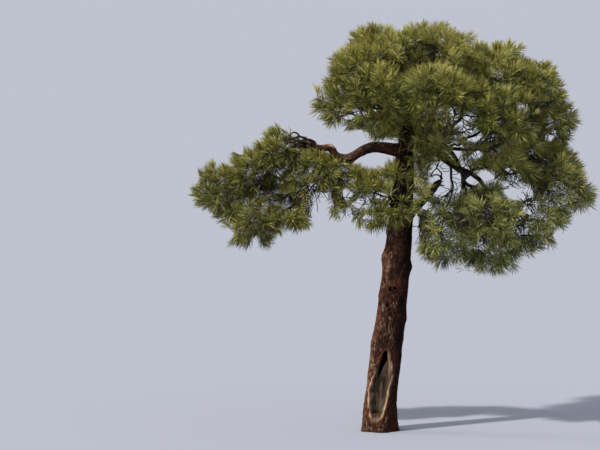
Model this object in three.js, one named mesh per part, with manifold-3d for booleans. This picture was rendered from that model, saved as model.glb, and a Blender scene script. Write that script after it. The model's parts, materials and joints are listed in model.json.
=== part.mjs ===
// An old, stunted pine, 5 m tall, with a leaning trunk, one long bough to the left and a broad crown
// that droops to the right.
// Millimetres, +Z up. The origin is the middle of the flat cut under the trunk, at ground level.
// +X is to the right and -Y is towards the viewer.
import * as THREE from 'three';
import { mergeVertices } from 'three/addons/utils/BufferGeometryUtils.js';
import Module from 'manifold-3d';

const wasm = await Module();
wasm.setup();

// Driving dimensions
const TREE_HEIGHT = 5000;
const CLEARANCE = 0.4; // gap between a solid and what is cut round it
const FOOT_RADIUS = 196; // trunk just above the root flare
const FLARE_SPREAD = 34; // how far the roots swell past the foot radius at ground level
const FLARE_HEIGHT = 170; // height over which the flare dies away
const FLARE_LOBES = 5;

// Trunk: height above ground, sideways lean, and radius as a share of the foot radius
const TRUNK_STATIONS = [
  { height: 0, lean: 0, girth: 1.0 },
  { height: 300, lean: 8, girth: 1.0 },
  { height: 900, lean: 73, girth: 0.95 },
  { height: 1450, lean: 140, girth: 0.87 },
  { height: 2050, lean: 205, girth: 0.83 },
  { height: 2650, lean: 258, girth: 0.73 },
  { height: 3250, lean: 296, girth: 0.62 },
  { height: 3650, lean: 318, girth: 0.36 },
  { height: 4150, lean: 390, girth: 0.24 },
  { height: 0.92 * TREE_HEIGHT, lean: 470, girth: 0.11 },
];
const TRUNK_SIDES = 14;
const TRUNK_RINGS = 16;

// Old branch knobs on the trunk: a bump at a height and a bearing, 0 degrees at +X and -90 to the viewer
const TRUNK_KNOBS = [
  { height: 2140, bearing: 190, swell: 34, reach: 120 },
  { height: 2010, bearing: -15, swell: 26, reach: 110 },
];

// The open scar at the foot, facing the viewer: a long lens, and a deeper hole rising behind its top
const SCAR = {
  middle: new THREE.Vector3(-14, -176, 545),
  size: new THREE.Vector3(124, 112, 420),
};
const SCAR_HOLE = {
  middle: new THREE.Vector3(30, -120, 830),
  size: new THREE.Vector3(46, 100, 170),
};
const SCAR_LEAN = THREE.MathUtils.degToRad(8);

const BACKWARD = new THREE.Vector3(0, 1, 0); // away from the viewer; no bough runs straight along it

const BARK = new THREE.MeshStandardMaterial({ name: 'bark', color: 0x4a3226, roughness: 0.95 });
const DEAD_WOOD = new THREE.MeshStandardMaterial({ name: 'dead_wood', color: 0x2e2a28, roughness: 0.9 });
const NEEDLES = new THREE.MeshStandardMaterial({ name: 'needles', color: 0x5c6128, roughness: 0.8 });

// Boughs. points are the centre line, radii its thickness at even steps along it. A bough that carries
// foliage ends just inside the mass named in into.
const BOUGHS = [
  {
    name: 'long_bough_base',
    points: [[290, 0, 3440], [180, -20, 3445], [40, -50, 3475], [-60, -60, 3482]],
    radii: [84, 74, 70, 68],
  },
  {
    name: 'long_bough_dip',
    points: [[-60, -60, 3482], [-170, -55, 3455], [-280, -45, 3395], [-372, -30, 3342], [-455, -20, 3345]],
    radii: [68, 60, 56, 60, 54],
  },
  {
    name: 'long_bough_knuckle',
    points: [[-455, -20, 3345], [-540, -10, 3385], [-600, 0, 3470], [-690, 10, 3468], [-775, 15, 3462]],
    radii: [54, 46, 50, 38, 40],
  },
  {
    name: 'long_bough_end',
    points: [[-775, 15, 3462], [-840, 20, 3510], [-900, 20, 3580], [-980, 10, 3585], [-1180, 0, 3500]],
    radii: [40, 56, 44, 26, 20],
    into: 'arm_top',
  },
  {
    name: 'right_bough',
    points: [
      [350, -20, 3500], [670, -80, 3430], [900, -90, 3255],
      [1110, -70, 3155], [1240, -50, 3050], [1290, -30, 2700],
    ],
    radii: [66, 50, 40, 30, 26, 22],
    into: 'low_right_middle',
  },
  {
    name: 'right_bough_drop',
    points: [
      [1015, -80, 3205], [1022, -95, 3150], [1010, -110, 3040],
      [1040, -110, 2940], [1080, -90, 2600],
    ],
    radii: [20, 31, 30, 26, 20],
    into: 'low_right_inner',
  },
  {
    name: 'thin_drop',
    points: [[858, -90, 3290], [862, -110, 3200], [852, -120, 3110], [895, -120, 3000], [900, -110, 2700]],
    radii: [15, 14, 13, 11, 8],
    into: 'low_right_inner',
  },
  {
    name: 'right_upper_bough',
    points: [[350, 20, 3640], [730, 10, 3500], [1010, 0, 3470], [1240, 10, 3490], [1500, 30, 3560]],
    radii: [52, 42, 34, 30, 24],
    into: 'crown_low_right',
  },
  {
    name: 'rear_bough',
    points: [
      [310, 40, 3460], [480, 220, 3540], [760, 420, 3500],
      [980, 560, 3250], [1070, 680, 2900], [1180, 720, 2600],
    ],
    radii: [62, 52, 44, 36, 28, 20],
    into: 'low_right_rear',
  },
  {
    name: 'rear_high_bough',
    points: [[330, 30, 3620], [420, 220, 3790], [520, 420, 3950], [700, 620, 4200]],
    radii: [44, 40, 34, 26],
    into: 'crown_rear',
  },
  {
    name: 'low_left_bough',
    points: [[230, -60, 2960], [115, -110, 2860], [20, -110, 2740], [-90, -90, 2700], [-190, -80, 2675]],
    radii: [24, 18, 15, 13, 9],
    into: 'low_left_spray',
  },
  {
    name: 'dead_stub',
    points: [[300, -40, 2560], [430, -90, 2720], [570, -120, 2880], [690, -130, 3030], [745, -130, 3095]],
    radii: [56, 48, 44, 42, 12],
    material: DEAD_WOOD,
  },
];
const BOUGH_SIDES = 8;
const BOUGH_STEP = 185; // length of one ring of faces along a bough
const ENTRY_DEPTH = 0.9; // a bough ends this far out from the middle of its mass, as a share of its size

// Masses of needles: middle and half sizes of each, and its tilt in degrees, clockwise to the viewer.
// An earlier mass keeps its whole shape, and later ones are cut back where they meet it.
const MASSES = [
  { name: 'crown_left_shoulder', at: [-310, -60, 4300], size: [400, 520, 510], tilt: 12 },
  { name: 'crown_peak_left', at: [-73, 60, 4650], size: [370, 480, 355] },
  { name: 'crown_peak', at: [600, -40, TREE_HEIGHT - 370], size: [540, 540, 400], tilt: 4 },
  { name: 'crown_peak_right', at: [1340, 40, 4385], size: [540, 580, 420] },
  { name: 'crown_right_shoulder', at: [1890, -30, 4130], size: [400, 500, 410], tilt: 20 },
  { name: 'crown_front_left', at: [-20, -620, 4140], size: [430, 400, 400] },
  { name: 'crown_front', at: [650, -720, 4110], size: [500, 440, 390] },
  { name: 'crown_front_right', at: [1450, -560, 3930], size: [520, 430, 370], tilt: 15 },
  { name: 'crown_right', at: [2090, 20, 3800], size: [300, 440, 300] },
  { name: 'crown_low_left', at: [-10, -150, 3800], size: [420, 380, 250], tilt: 8 },
  { name: 'crown_left_fringe', at: [-540, -40, 3950], size: [220, 300, 190], tilt: -20 },
  { name: 'crown_left_tip', at: [-720, -60, 4080], size: [130, 150, 130] },
  { name: 'crown_collar', at: [525, -230, 3580], size: [370, 330, 275] },
  { name: 'crown_rear_left', at: [60, 720, 4160], size: [490, 430, 400] },
  { name: 'crown_rear', at: [860, 780, 4270], size: [520, 440, 370] },
  { name: 'crown_rear_right', at: [1700, 660, 3960], size: [480, 420, 400], tilt: 15 },
  { name: 'crown_rear_collar', at: [380, 480, 3690], size: [400, 320, 270] },
  { name: 'right_middle', at: [1710, 40, 3680], size: [510, 500, 340], tilt: 10 },
  { name: 'crown_low_right', at: [1530, -60, 3330], size: [390, 440, 250], tilt: 15 },
  { name: 'right_end', at: [2170, -20, 3090], size: [330, 450, 430], tilt: -8 },
  { name: 'right_tip', at: [2430, -60, 2860], size: [225, 260, 170], tilt: 20 },
  { name: 'right_rear', at: [2010, 540, 3300], size: [370, 340, 340] },
  { name: 'low_right_inner', at: [770, -110, 2490], size: [365, 460, 480] },
  { name: 'low_right_middle', at: [1345, 80, 2560], size: [420, 520, 450] },
  { name: 'low_right_outer', at: [1900, -40, 2590], size: [385, 440, 350], tilt: -25 },
  { name: 'low_right_drop', at: [1330, -30, 2200], size: [440, 330, 250], tilt: 8 },
  { name: 'low_right_rear', at: [1180, 720, 2630], size: [420, 360, 380] },
  { name: 'low_right_front', at: [1330, -560, 2600], size: [380, 330, 370] },
  { name: 'trunk_spray', at: [190, -150, 2880], size: [270, 290, 460] },
  { name: 'low_left_spray', at: [-200, -70, 2700], size: [320, 250, 210], tilt: 8 },
  { name: 'arm_link', at: [-290, -60, 3000], size: [400, 310, 270] },
  { name: 'arm_inner', at: [-820, 20, 3170], size: [370, 380, 320] },
  { name: 'arm_top', at: [-1180, 10, 3450], size: [330, 340, 270] },
  { name: 'arm_middle', at: [-1525, 70, 3165], size: [400, 450, 390], tilt: -20 },
  { name: 'arm_tip', at: [-1975, 0, 2955], size: [345, 370, 330], tilt: -15 },
  { name: 'arm_low', at: [-1560, -60, 2610], size: [375, 400, 360], tilt: -15 },
  { name: 'arm_low_inner', at: [-1085, 30, 2760], size: [280, 340, 330] },
];
const SMALL_MASS = 480; // a mass under this mean half size needs fewer faces
const UNEVENNESS = 0.1; // how far the lumps of a mass stand out, as a share of its size
const LUMP_WAVES = 6;

// A repeatable run of numbers from 0 to 1 for each seed.
function seededNumbers(seed) {
  let state = (seed * 2654435761) % 4294967296;
  return () => {
    state = (state * 1664525 + 1013904223) % 4294967296;
    return state / 4294967296;
  };
}

// The solid of a closed geometry, which knows its faces only by their corners.
function solidOf(geometry) {
  const bare = geometry.clone();
  bare.deleteAttribute('normal');
  bare.deleteAttribute('uv');
  const merged = mergeVertices(bare, 1e-3);
  return new wasm.Manifold(new wasm.Mesh({
    numProp: 3,
    vertProperties: new Float32Array(merged.attributes.position.array),
    triVerts: new Uint32Array(merged.index.array),
  }));
}

// The largest body of a solid, without the slivers that a cut can leave beside it.
function mainBody(solid) {
  return solid.decompose().reduce((best, body) => (body.volume() > best.volume() ? body : best));
}

function meshOf(solid, name, material) {
  const { vertProperties, triVerts } = mainBody(solid).getMesh();
  const geometry = new THREE.BufferGeometry();
  geometry.setAttribute('position', new THREE.BufferAttribute(vertProperties, 3));
  geometry.setIndex(new THREE.BufferAttribute(triVerts, 1));
  geometry.computeVertexNormals();
  const mesh = new THREE.Mesh(geometry, material);
  mesh.name = name;
  return mesh;
}

// Moves every corner of a geometry to where place() puts it.
function reshape(geometry, place) {
  const corners = geometry.attributes.position;
  const corner = new THREE.Vector3();
  for (let i = 0; i < corners.count; i++) {
    corner.fromBufferAttribute(corners, i);
    place(corner);
    corners.setXYZ(i, corner.x, corner.y, corner.z);
  }
  return geometry;
}

// An upright unit cylinder with closed ends: height 0 to 1 along Z, radius 1.
function unitLog(sides, rings) {
  const log = new THREE.CylinderGeometry(1, 1, 1, sides, rings);
  log.rotateX(Math.PI / 2);
  log.translate(0, 0, 0.5);
  return log;
}

// A smooth value between the entries of a list, for a share from 0 to 1 along it.
function alongList(values, share) {
  const place = THREE.MathUtils.clamp(share, 0, 1) * (values.length - 1);
  const step = Math.min(Math.floor(place), values.length - 2);
  return THREE.MathUtils.lerp(values[step], values[step + 1], place - step);
}

// A smooth line through the trunk's stations: x is the lean, y the plain radius and z the height.
const trunkLine = new THREE.CatmullRomCurve3(
  TRUNK_STATIONS.map(({ height, lean, girth }) => new THREE.Vector3(lean, girth * FOOT_RADIUS, height)),
);

// How far the trunk stands out from its centre line at a height and a bearing.
function trunkRadius(plainRadius, height, bearing) {
  const lobes = 1 + 0.6 * Math.cos(FLARE_LOBES * bearing + 0.8);
  const flare = FLARE_SPREAD * lobes * Math.exp(-height / FLARE_HEIGHT);
  const knobs = TRUNK_KNOBS.map((knob) => {
    const turn = bearing - THREE.MathUtils.degToRad(knob.bearing);
    const around = Math.atan2(Math.sin(turn), Math.cos(turn)) * plainRadius;
    const distance = Math.hypot(around, height - knob.height) / knob.reach;
    return knob.swell * Math.exp(-2 * distance * distance);
  });
  return plainRadius + flare + knobs.reduce((sum, bump) => sum + bump, 0);
}

// The trunk is a stack of level rings, so its foot is a flat cut at ground level.
function trunkSolid(clearance = 0) {
  const log = unitLog(TRUNK_SIDES, TRUNK_RINGS);
  return solidOf(reshape(log, (corner) => {
    const station = trunkLine.getPoint(corner.z);
    const reach = Math.hypot(corner.x, corner.y);
    const bearing = Math.atan2(corner.y, corner.x);
    const radius = reach * (trunkRadius(station.y, station.z, bearing) + clearance);
    const end = corner.z < 1e-6 ? -clearance : corner.z > 1 - 1e-6 ? clearance : 0;
    corner.set(station.x + radius * Math.cos(bearing), radius * Math.sin(bearing), station.z + end);
  }));
}

// One lens-shaped bite out of the foot of the trunk.
function scarSolid({ middle, size }) {
  const lens = new THREE.SphereGeometry(1, 12, 9);
  lens.rotateX(Math.PI / 2);
  lens.scale(size.x, size.y, size.z);
  lens.rotateY(SCAR_LEAN);
  lens.translate(middle.x, middle.y, middle.z);
  return solidOf(lens);
}

// The share of a bough's line at which it enters its mass, or 1 for a bough with a free end.
function endShare(line, massName) {
  const mass = MASSES.find(({ name }) => name === massName);
  for (let share = 0; mass && share < 1; share += 0.01) {
    const [x, y, z] = line.getPointAt(share).toArray().map((value, axis) => value - mass.at[axis]);
    const depth = Math.hypot(x / mass.size[0], y / mass.size[1], z / mass.size[2]);
    if (depth < ENTRY_DEPTH) return share;
  }
  return 1;
}

// A bough is a log bent along its line and tapered by its radii.
function boughSolid({ points, radii, into }, clearance = 0) {
  const line = new THREE.CatmullRomCurve3(points.map((point) => new THREE.Vector3(...point)));
  const end = endShare(line, into);
  const rings = Math.max(2, Math.round((end * line.getLength()) / BOUGH_STEP));
  const log = unitLog(BOUGH_SIDES, rings);
  return solidOf(reshape(log, (corner) => {
    const share = end * corner.z;
    const radius = alongList(radii, share) + clearance;
    const tangent = line.getTangentAt(share);
    const across = new THREE.Vector3().crossVectors(tangent, BACKWARD).normalize();
    const up = new THREE.Vector3().crossVectors(tangent, across);
    const endStep = (corner.z < 1e-6 ? -1 : corner.z > 1 - 1e-6 ? 1 : 0) * (clearance - CLEARANCE / 2);
    const start = corner.clone();
    corner.copy(line.getPointAt(share)).addScaledVector(tangent, endStep);
    corner.addScaledVector(across, start.x * radius).addScaledVector(up, start.y * radius);
  }));
}

// A mass is a ball stretched to its size, with lumps from a few waves that differ from mass to mass.
function massSolid({ at, size, tilt = 0 }, seed, clearance = 0) {
  const number = seededNumbers(seed);
  const waves = Array.from({ length: LUMP_WAVES }, () => ({
    heading: new THREE.Vector3(number() - 0.5, number() - 0.5, number() - 0.5).normalize(),
    rate: 2.5 + 3.5 * number(),
    start: 2 * Math.PI * number(),
  }));
  const meanSize = (size[0] + size[1] + size[2]) / 3;
  const ball = new THREE.IcosahedronGeometry(1, meanSize < SMALL_MASS ? 1 : 2);
  return solidOf(reshape(ball, (corner) => {
    const lump = waves.reduce(
      (sum, { heading, rate, start }) => sum + Math.sin(rate * heading.dot(corner) + start), 0,
    );
    const out = 1 + (UNEVENNESS * lump) / Math.sqrt(LUMP_WAVES);
    const facing = new THREE.Vector3(corner.x / size[0], corner.y / size[1], corner.z / size[2]).normalize();
    corner.set(corner.x * size[0], corner.y * size[1], corner.z * size[2]);
    corner.multiplyScalar(out).addScaledVector(facing, clearance);
    corner.applyAxisAngle(BACKWARD, THREE.MathUtils.degToRad(tilt)).add(new THREE.Vector3(...at));
  }));
}

const tree = new THREE.Group();
tree.name = 'pine_tree';

const trunk = trunkSolid().subtract(scarSolid(SCAR)).subtract(scarSolid(SCAR_HOLE));
tree.add(meshOf(trunk, 'trunk', BARK));

// Each bough starts at the bark of the trunk, or at the bough that carries it.
let woodSpace = trunkSolid(CLEARANCE);
for (const bough of BOUGHS) {
  const solid = boughSolid(bough).subtract(woodSpace);
  tree.add(meshOf(solid, bough.name, bough.material ?? BARK));
  woodSpace = woodSpace.add(boughSolid(bough, CLEARANCE));
}

// Each mass is cut round the wood that runs into it and round the masses before it.
let filledSpace = woodSpace;
MASSES.forEach((mass, index) => {
  const solid = massSolid(mass, index + 1).subtract(filledSpace);
  tree.add(meshOf(solid, mass.name, NEEDLES));
  filledSpace = filledSpace.add(massSolid(mass, index + 1, CLEARANCE));
});

export default tree;
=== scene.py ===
# %% [markdown]
# # An old, stunted pine
#
# The tree is 5 m tall. It has a leaning trunk with an open scar at its foot, a long bough that reaches
# out to the left, and a crown that droops on the right. Its needles are long and stand in round sprays.
#
# A tree can be sculpted, scattered with a particle system, or grown by a rule. It is grown by a rule
# here, because a rule keeps every twig joined to the wood, gives the same tree on each run, and can be
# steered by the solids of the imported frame, which say where the real tree has foliage and where it
# lets the sky through.

# %% The frame and the values that drive the tree
import json
import math

import bmesh
import bpy
import numpy as np
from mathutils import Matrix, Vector
from mathutils.bvhtree import BVHTree

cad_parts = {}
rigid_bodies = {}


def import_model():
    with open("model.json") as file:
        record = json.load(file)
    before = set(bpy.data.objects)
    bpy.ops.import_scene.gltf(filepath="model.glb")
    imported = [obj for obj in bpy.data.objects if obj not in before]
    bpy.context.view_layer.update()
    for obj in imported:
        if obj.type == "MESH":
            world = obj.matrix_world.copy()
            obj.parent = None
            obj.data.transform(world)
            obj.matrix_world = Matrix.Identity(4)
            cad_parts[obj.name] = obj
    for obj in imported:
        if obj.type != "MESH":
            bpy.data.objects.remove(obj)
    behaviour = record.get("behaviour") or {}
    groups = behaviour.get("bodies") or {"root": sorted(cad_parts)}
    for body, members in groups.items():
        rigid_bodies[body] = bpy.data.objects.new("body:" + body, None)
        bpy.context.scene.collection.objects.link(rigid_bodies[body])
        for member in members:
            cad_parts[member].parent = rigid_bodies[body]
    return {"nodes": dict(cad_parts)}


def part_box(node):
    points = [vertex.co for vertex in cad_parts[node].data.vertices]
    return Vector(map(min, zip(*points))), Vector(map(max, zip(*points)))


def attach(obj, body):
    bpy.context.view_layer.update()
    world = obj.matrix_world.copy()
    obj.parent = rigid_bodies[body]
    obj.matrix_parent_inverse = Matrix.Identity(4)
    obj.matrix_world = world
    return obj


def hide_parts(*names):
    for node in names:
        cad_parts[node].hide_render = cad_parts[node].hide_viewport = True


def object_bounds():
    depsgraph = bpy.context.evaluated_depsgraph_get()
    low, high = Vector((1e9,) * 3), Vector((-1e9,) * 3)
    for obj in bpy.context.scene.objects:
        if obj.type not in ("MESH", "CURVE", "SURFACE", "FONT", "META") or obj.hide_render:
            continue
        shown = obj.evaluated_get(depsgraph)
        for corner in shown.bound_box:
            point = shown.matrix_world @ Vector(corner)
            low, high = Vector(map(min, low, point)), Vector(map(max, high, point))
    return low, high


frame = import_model()
cad_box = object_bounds()

SEED = 20
LONG_BOUGH_NODES = ("long_bough_base", "long_bough_dip", "long_bough_knuckle", "long_bough_end")
WOOD_NODES = (
    "trunk", *LONG_BOUGH_NODES, "right_bough", "right_bough_drop", "thin_drop", "right_upper_bough",
    "rear_bough", "rear_high_bough", "low_left_bough", "dead_stub",
)
mass_nodes = sorted(name for name in frame["nodes"] if name not in WOOD_NODES)
print(f"{len(frame['nodes'])} packed nodes, {len(mass_nodes)} of them masses of foliage")

# %% [markdown]
# ## Camera
#
# The picture was taken from far away with a long lens, a few degrees above the middle of the tree, so
# its lines hardly converge. A 200 mm lens at 40 m gives the same flat perspective. The height at which
# the camera sees a point against the trunk decides later whether the point lies in a gap of the crown.

# %% Camera
LOOK_AT = Vector((-0.976, 0.0, 2.525))
CAMERA_DISTANCE = 40.7
CAMERA_ELEVATION = math.radians(4)
LENS, SENSOR_WIDTH = 200, 36  # millimetres
SIGHT = 12000  # how far the camera sees, past the end of the floor


def show(name, data):
    """A new object for a mesh, a lamp or the camera, linked to the scene."""
    piece = bpy.data.objects.new(name, data)
    bpy.context.scene.collection.objects.link(piece)
    return piece


def seen_height(points):
    """The height at which the camera sees points against the upright plane through the trunk."""
    return points[..., 2] + math.tan(CAMERA_ELEVATION) * points[..., 1]


camera_data = bpy.data.cameras.new("long_lens")
camera_data.lens = LENS
camera_data.sensor_width = SENSOR_WIDTH
camera_data.clip_end = SIGHT
camera = show("camera", camera_data)
away = Vector((0, -math.cos(CAMERA_ELEVATION), math.sin(CAMERA_ELEVATION)))
camera.location = LOOK_AT + CAMERA_DISTANCE * away
camera.rotation_euler = (-away).to_track_quat("-Z", "Y").to_euler()
bpy.context.scene.camera = camera
print("camera at", [round(value, 2) for value in camera.location])

# %% [markdown]
# ## Noise and smooth lines
#
# Bark, scars and branches all need the same few helpers. There is a ready noise module, but it takes
# one point at a time. Tables of random numbers do the same for a hundred thousand points at once, and
# a table that repeats round the trunk leaves no seam. The long tables further down are in whole
# millimetres or centimetres, which are quicker to read and to write than metres.

# %% Helpers for lines and noise


def smooth_line(rows, count):
    """Rows of numbers joined by a curve that runs smoothly through each, read at count even steps."""
    rows = np.asarray(rows, float)
    padded = np.vstack([2 * rows[0] - rows[1], rows, 2 * rows[-1] - rows[-2]])
    place = np.linspace(0, len(rows) - 1, count)
    step = np.minimum(place.astype(int), len(rows) - 2)
    t = (place - step)[:, None]
    p0, p1, p2, p3 = (padded[step + k] for k in range(4))
    bend = 2 * p0 - 5 * p1 + 4 * p2 - p3
    twist = 3 * p1 - p0 - 3 * p2 + p3
    return 0.5 * (2 * p1 + (p2 - p0) * t + bend * t**2 + twist * t**3)


def in_metres(rows, parts=1000):
    """Rows whose first four columns are whole parts of a metre, with those columns in metres."""
    return [(*(value / parts for value in row[:4]), *row[4:]) for row in rows]


def unit(vectors):
    """Vectors scaled to length 1."""
    length = np.linalg.norm(vectors, axis=-1, keepdims=True)
    return vectors / np.maximum(length, 1e-9)


def ease(low, high, value):
    """0 below low, 1 above high and a smooth ramp between them."""
    t = np.clip((value - low) / (high - low), 0, 1)
    return t * t * (3 - 2 * t)


def around(turn, bearing):
    """Angle between a turn and a bearing in degrees, from -pi to pi."""
    return (2 * math.pi * turn - math.radians(bearing) + math.pi) % (2 * math.pi) - math.pi


def line_length(line):
    """Length of a line of points in metres."""
    return float(np.linalg.norm(np.diff(line[:, :3], axis=0), axis=1).sum())


def soft_noise(turn, rise, columns, cell_rise, seed):
    """Smooth noise from -1 to 1 on a surface that closes on itself after one turn."""
    u = (turn % 1.0) * columns
    v = rise / cell_rise
    v = v - v.min()
    table = np.random.default_rng(seed).uniform(-1, 1, (int(v.max()) + 3, columns))
    column, row = np.floor(u).astype(int), np.floor(v).astype(int)
    across, up = ease(0, 1, u - column), ease(0, 1, v - row)
    left, right = column % columns, (column + 1) % columns
    low = table[row, left] * (1 - across) + table[row, right] * across
    high = table[row + 1, left] * (1 - across) + table[row + 1, right] * across
    return low * (1 - up) + high * up


def plates(turn, rise, columns, cell_rise, seed):
    """Distance from the cracks between plates, 0 to 1, and a tone from 0 to 1 for each plate."""
    u = (turn % 1.0) * columns
    v = rise / cell_rise
    v = v - v.min() + 1
    table = np.random.default_rng(seed).random((int(v.max()) + 3, columns, 3))
    column, row = np.floor(u).astype(int), np.floor(v).astype(int)
    nearest = np.full(u.shape, 9.0)
    second = np.full(u.shape, 9.0)
    tone = np.zeros(u.shape)
    for du in (-1, 0, 1):
        for dv in (-1, 0, 1):
            cell = table[row + dv, (column + du) % columns]
            gap = np.hypot(column + du + cell[..., 0] - u, row + dv + cell[..., 1] - v)
            tone = np.where(gap < nearest, cell[..., 2], tone)
            second = np.minimum(second, np.maximum(nearest, gap))
            nearest = np.minimum(nearest, gap)
    return np.clip(second - nearest, 0, 1), tone

# %% [markdown]
# ## A skin for any limb
#
# The trunk and every bough are the same thing to a modeller: a tube with rough bark. A grid made by one
# bmesh operator is wrapped round the limb's line, its seam is welded and its ends are closed. Because
# each vertex knows how far round and how far along it is, the bark's relief is real geometry that
# follows the limb, and the same numbers are kept as attributes for the colours.

# %% Helpers that wrap a grid round a line


def frames_along(line):
    """Two directions square to the line at each of its points: in the picture's plane, and away."""
    tangents = unit(np.gradient(line, axis=0))
    sides = unit(np.cross(tangents, (0.0, 1.0, 0.0)))
    return sides, np.cross(sides, tangents)


def mesh_of(name, bm):
    """A new mesh that takes over what a bmesh holds."""
    mesh = bpy.data.meshes.new(name)
    bm.to_mesh(mesh)
    bm.free()
    return mesh


def grid_mesh(name, across, along):
    """A flat grid of across by along faces, made by an operator, and its two coordinates from 0 to 1."""
    bm = bmesh.new()
    bmesh.ops.create_grid(bm, x_segments=across, y_segments=along, size=0.5)
    mesh = mesh_of(name, bm)
    flat = np.zeros(len(mesh.vertices) * 3)
    mesh.vertices.foreach_get("co", flat)
    flat = flat.reshape(-1, 3) + 0.5
    return mesh, flat[:, 0], flat[:, 1]


def close_skin(mesh):
    """Welds the seam of a wrapped grid, closes its two ends and turns its faces outwards."""
    bm = bmesh.new()
    bm.from_mesh(mesh)
    bmesh.ops.remove_doubles(bm, verts=bm.verts, dist=1e-5)
    rims = [edge for edge in bm.edges if edge.is_boundary]
    bmesh.ops.holes_fill(bm, edges=rims, sides=0)
    bmesh.ops.recalc_face_normals(bm, faces=bm.faces)
    for face in bm.faces:
        face.smooth = len(face.verts) == 4
    bm.to_mesh(mesh)
    bm.free()


def wrap(name, line, frames, radius_at, grid, layers_at, shift_at=None):
    """A closed skin whose distance from the line is radius_at(turn, share), with colour layers."""
    mesh, turn, share = grid_mesh(name, *grid)
    sides, ups = frames
    place = share * (len(line) - 1)
    step = np.minimum(place.astype(int), len(line) - 2)
    mix = (place - step)[:, None]

    def between(rows):
        return rows[step] * (1 - mix) + rows[step + 1] * mix

    angle = 2 * math.pi * turn
    radius = radius_at(turn, share)[:, None]
    across = between(sides) * np.cos(angle)[:, None] + between(ups) * np.sin(angle)[:, None]
    places = between(line) + across * radius
    if shift_at:
        places = places + shift_at(turn, share)
    mesh.vertices.foreach_set("co", places.ravel())
    for layer, values in layers_at(turn, share).items():
        attribute = mesh.attributes.new(layer, "FLOAT", "POINT")
        attribute.data.foreach_set("value", np.asarray(values, np.float32))
    close_skin(mesh)
    print(f"{name}: {sum(len(face.vertices) - 2 for face in mesh.polygons)} triangles")
    return show(name, mesh)

# %% [markdown]
# ## The trunk
#
# The trunk leans to the right and keeps most of its girth until the first big boughs. Its foot swells
# a little where the roots begin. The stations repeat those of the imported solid. The bark of such a pine
# breaks into upright plates with dark cracks between them, and into smaller flakes on each plate.

# %% Trunk line and girth
FOOT_RADIUS = 0.196
TRUNK_STATIONS = [  # sideways lean, radius as a share of the foot's, height
    (0.000, 1.00, 0.00),
    (0.008, 1.00, 0.30),
    (0.073, 0.95, 0.90),
    (0.140, 0.87, 1.45),
    (0.205, 0.83, 2.05),
    (0.258, 0.73, 2.65),
    (0.296, 0.62, 3.25),
    (0.318, 0.36, 3.65),
    (0.390, 0.24, 4.15),
    (0.470, 0.11, 4.60),
]
FLARE_SPREAD, FLARE_HEIGHT, FLARE_LOBES = 0.034, 0.17, 5
TRUNK_KNOBS = [  # height, bearing in degrees (0 is right, 90 away), swell, reach
    (2.14, 190, 0.036, 0.13),
    (2.01, -15, 0.030, 0.11),
    (1.66, 205, 0.018, 0.12),
    (1.40, 12, 0.016, 0.12),
    (2.46, 170, 0.014, 0.10),
    (1.10, 175, 0.016, 0.15),
]
KNOT_HOLES = [  # height, share across the front from -1 to 1, half width, half height, depth
    (1.748, -0.26, 0.017, 0.024, 0.050),
    (1.762, -0.02, 0.021, 0.017, 0.045),
    (1.778, -0.15, 0.018, 0.010, 0.020),
    (1.560, -0.38, 0.013, 0.032, 0.050),
]
FINE_TO = 3.35  # above this height foliage hides the trunk, and its stations are further apart
FINE_STEP, COARSE_STEP = 0.0085, 0.035
TRUNK_ROWS = 168  # rows of faces from foot to tip; round it, there are as many as stations
TRUNK_TOP = TRUNK_STATIONS[-1][2]

stations = smooth_line(TRUNK_STATIONS, 600)
heights = np.concatenate([np.arange(0, FINE_TO, FINE_STEP), np.arange(FINE_TO, TRUNK_TOP, COARSE_STEP)])
trunk_lean = np.interp(heights, stations[:, 2], stations[:, 0])
trunk_girth = np.interp(heights, stations[:, 2], stations[:, 1]) * FOOT_RADIUS
trunk_line = np.column_stack([trunk_lean, np.zeros_like(heights), heights])
level_frames = tuple(np.tile(axis, (len(heights), 1)) for axis in ((1.0, 0.0, 0.0), (0.0, 1.0, 0.0)))
print(f"trunk: {len(heights)} stations, radius {trunk_girth[0]:.3f} to {trunk_girth[-1]:.3f} m")

# %% [markdown]
# ## The scar at the foot
#
# Long ago something killed a strip of bark at the foot, facing the viewer. The wood behind it has
# weathered grey and hollowed, and the living bark has rolled a pale lip round it. At its top the wood
# has rotted through into a cave, which is painted dark as shade, with paler wood beside it. A boolean
# cut would leave a clean edge, so the same grid is pushed in instead: the lip, the walls and the hollow
# stay one surface. The outline is given as the hollow's left and right edge at a few heights, and the
# cave by its middle.

# %% Shape of the scar
SCAR_ROWS = [  # height, left edge and right edge as shares across the front from -1 to 1
    (0.160, -0.40, -0.10),
    (0.196, -0.53, 0.05),
    (0.280, -0.61, 0.155),
    (0.400, -0.71, 0.30),
    (0.530, -0.72, 0.375),
    (0.650, -0.62, 0.43),
    (0.710, -0.58, 0.44),
    (0.770, -0.54, 0.44),
    (0.830, -0.44, 0.38),
    (0.890, -0.34, 0.29),
    (0.950, -0.20, 0.16),
    (1.000, -0.06, 0.06),
]
SCAR_DEPTH, BASIN_WIDTH = 0.085, 0.06
LIP_HEIGHT, LIP_WIDTH = 0.016, 0.012
LIP_FOOT, LIP_TOP = (0.10, 0.24), (1.06, 0.94)  # heights between which the lip rises and fades
LIP_KNOB = (-0.75, 0.585, 0.018)  # share across, height, size
CAVE_ROWS = [  # height, middle as a share across the front, half width
    (0.665, -0.38, 0.004),
    (0.720, -0.35, 0.013),
    (0.785, -0.30, 0.022),
    (0.880, -0.17, 0.031),
    (0.950, -0.11, 0.029),
    (1.000, -0.07, 0.012),
]
CAVE_DEPTH, SLIT_DEPTH = 0.12, 0.03
TAN_WEDGE = (0.76, 0.97)  # heights between which the wood beside the cave is freshly pale
FOOT_SLIT = (-0.25, 0.245, 0.050, 0.012)  # share across, height, half width, half height
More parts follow.
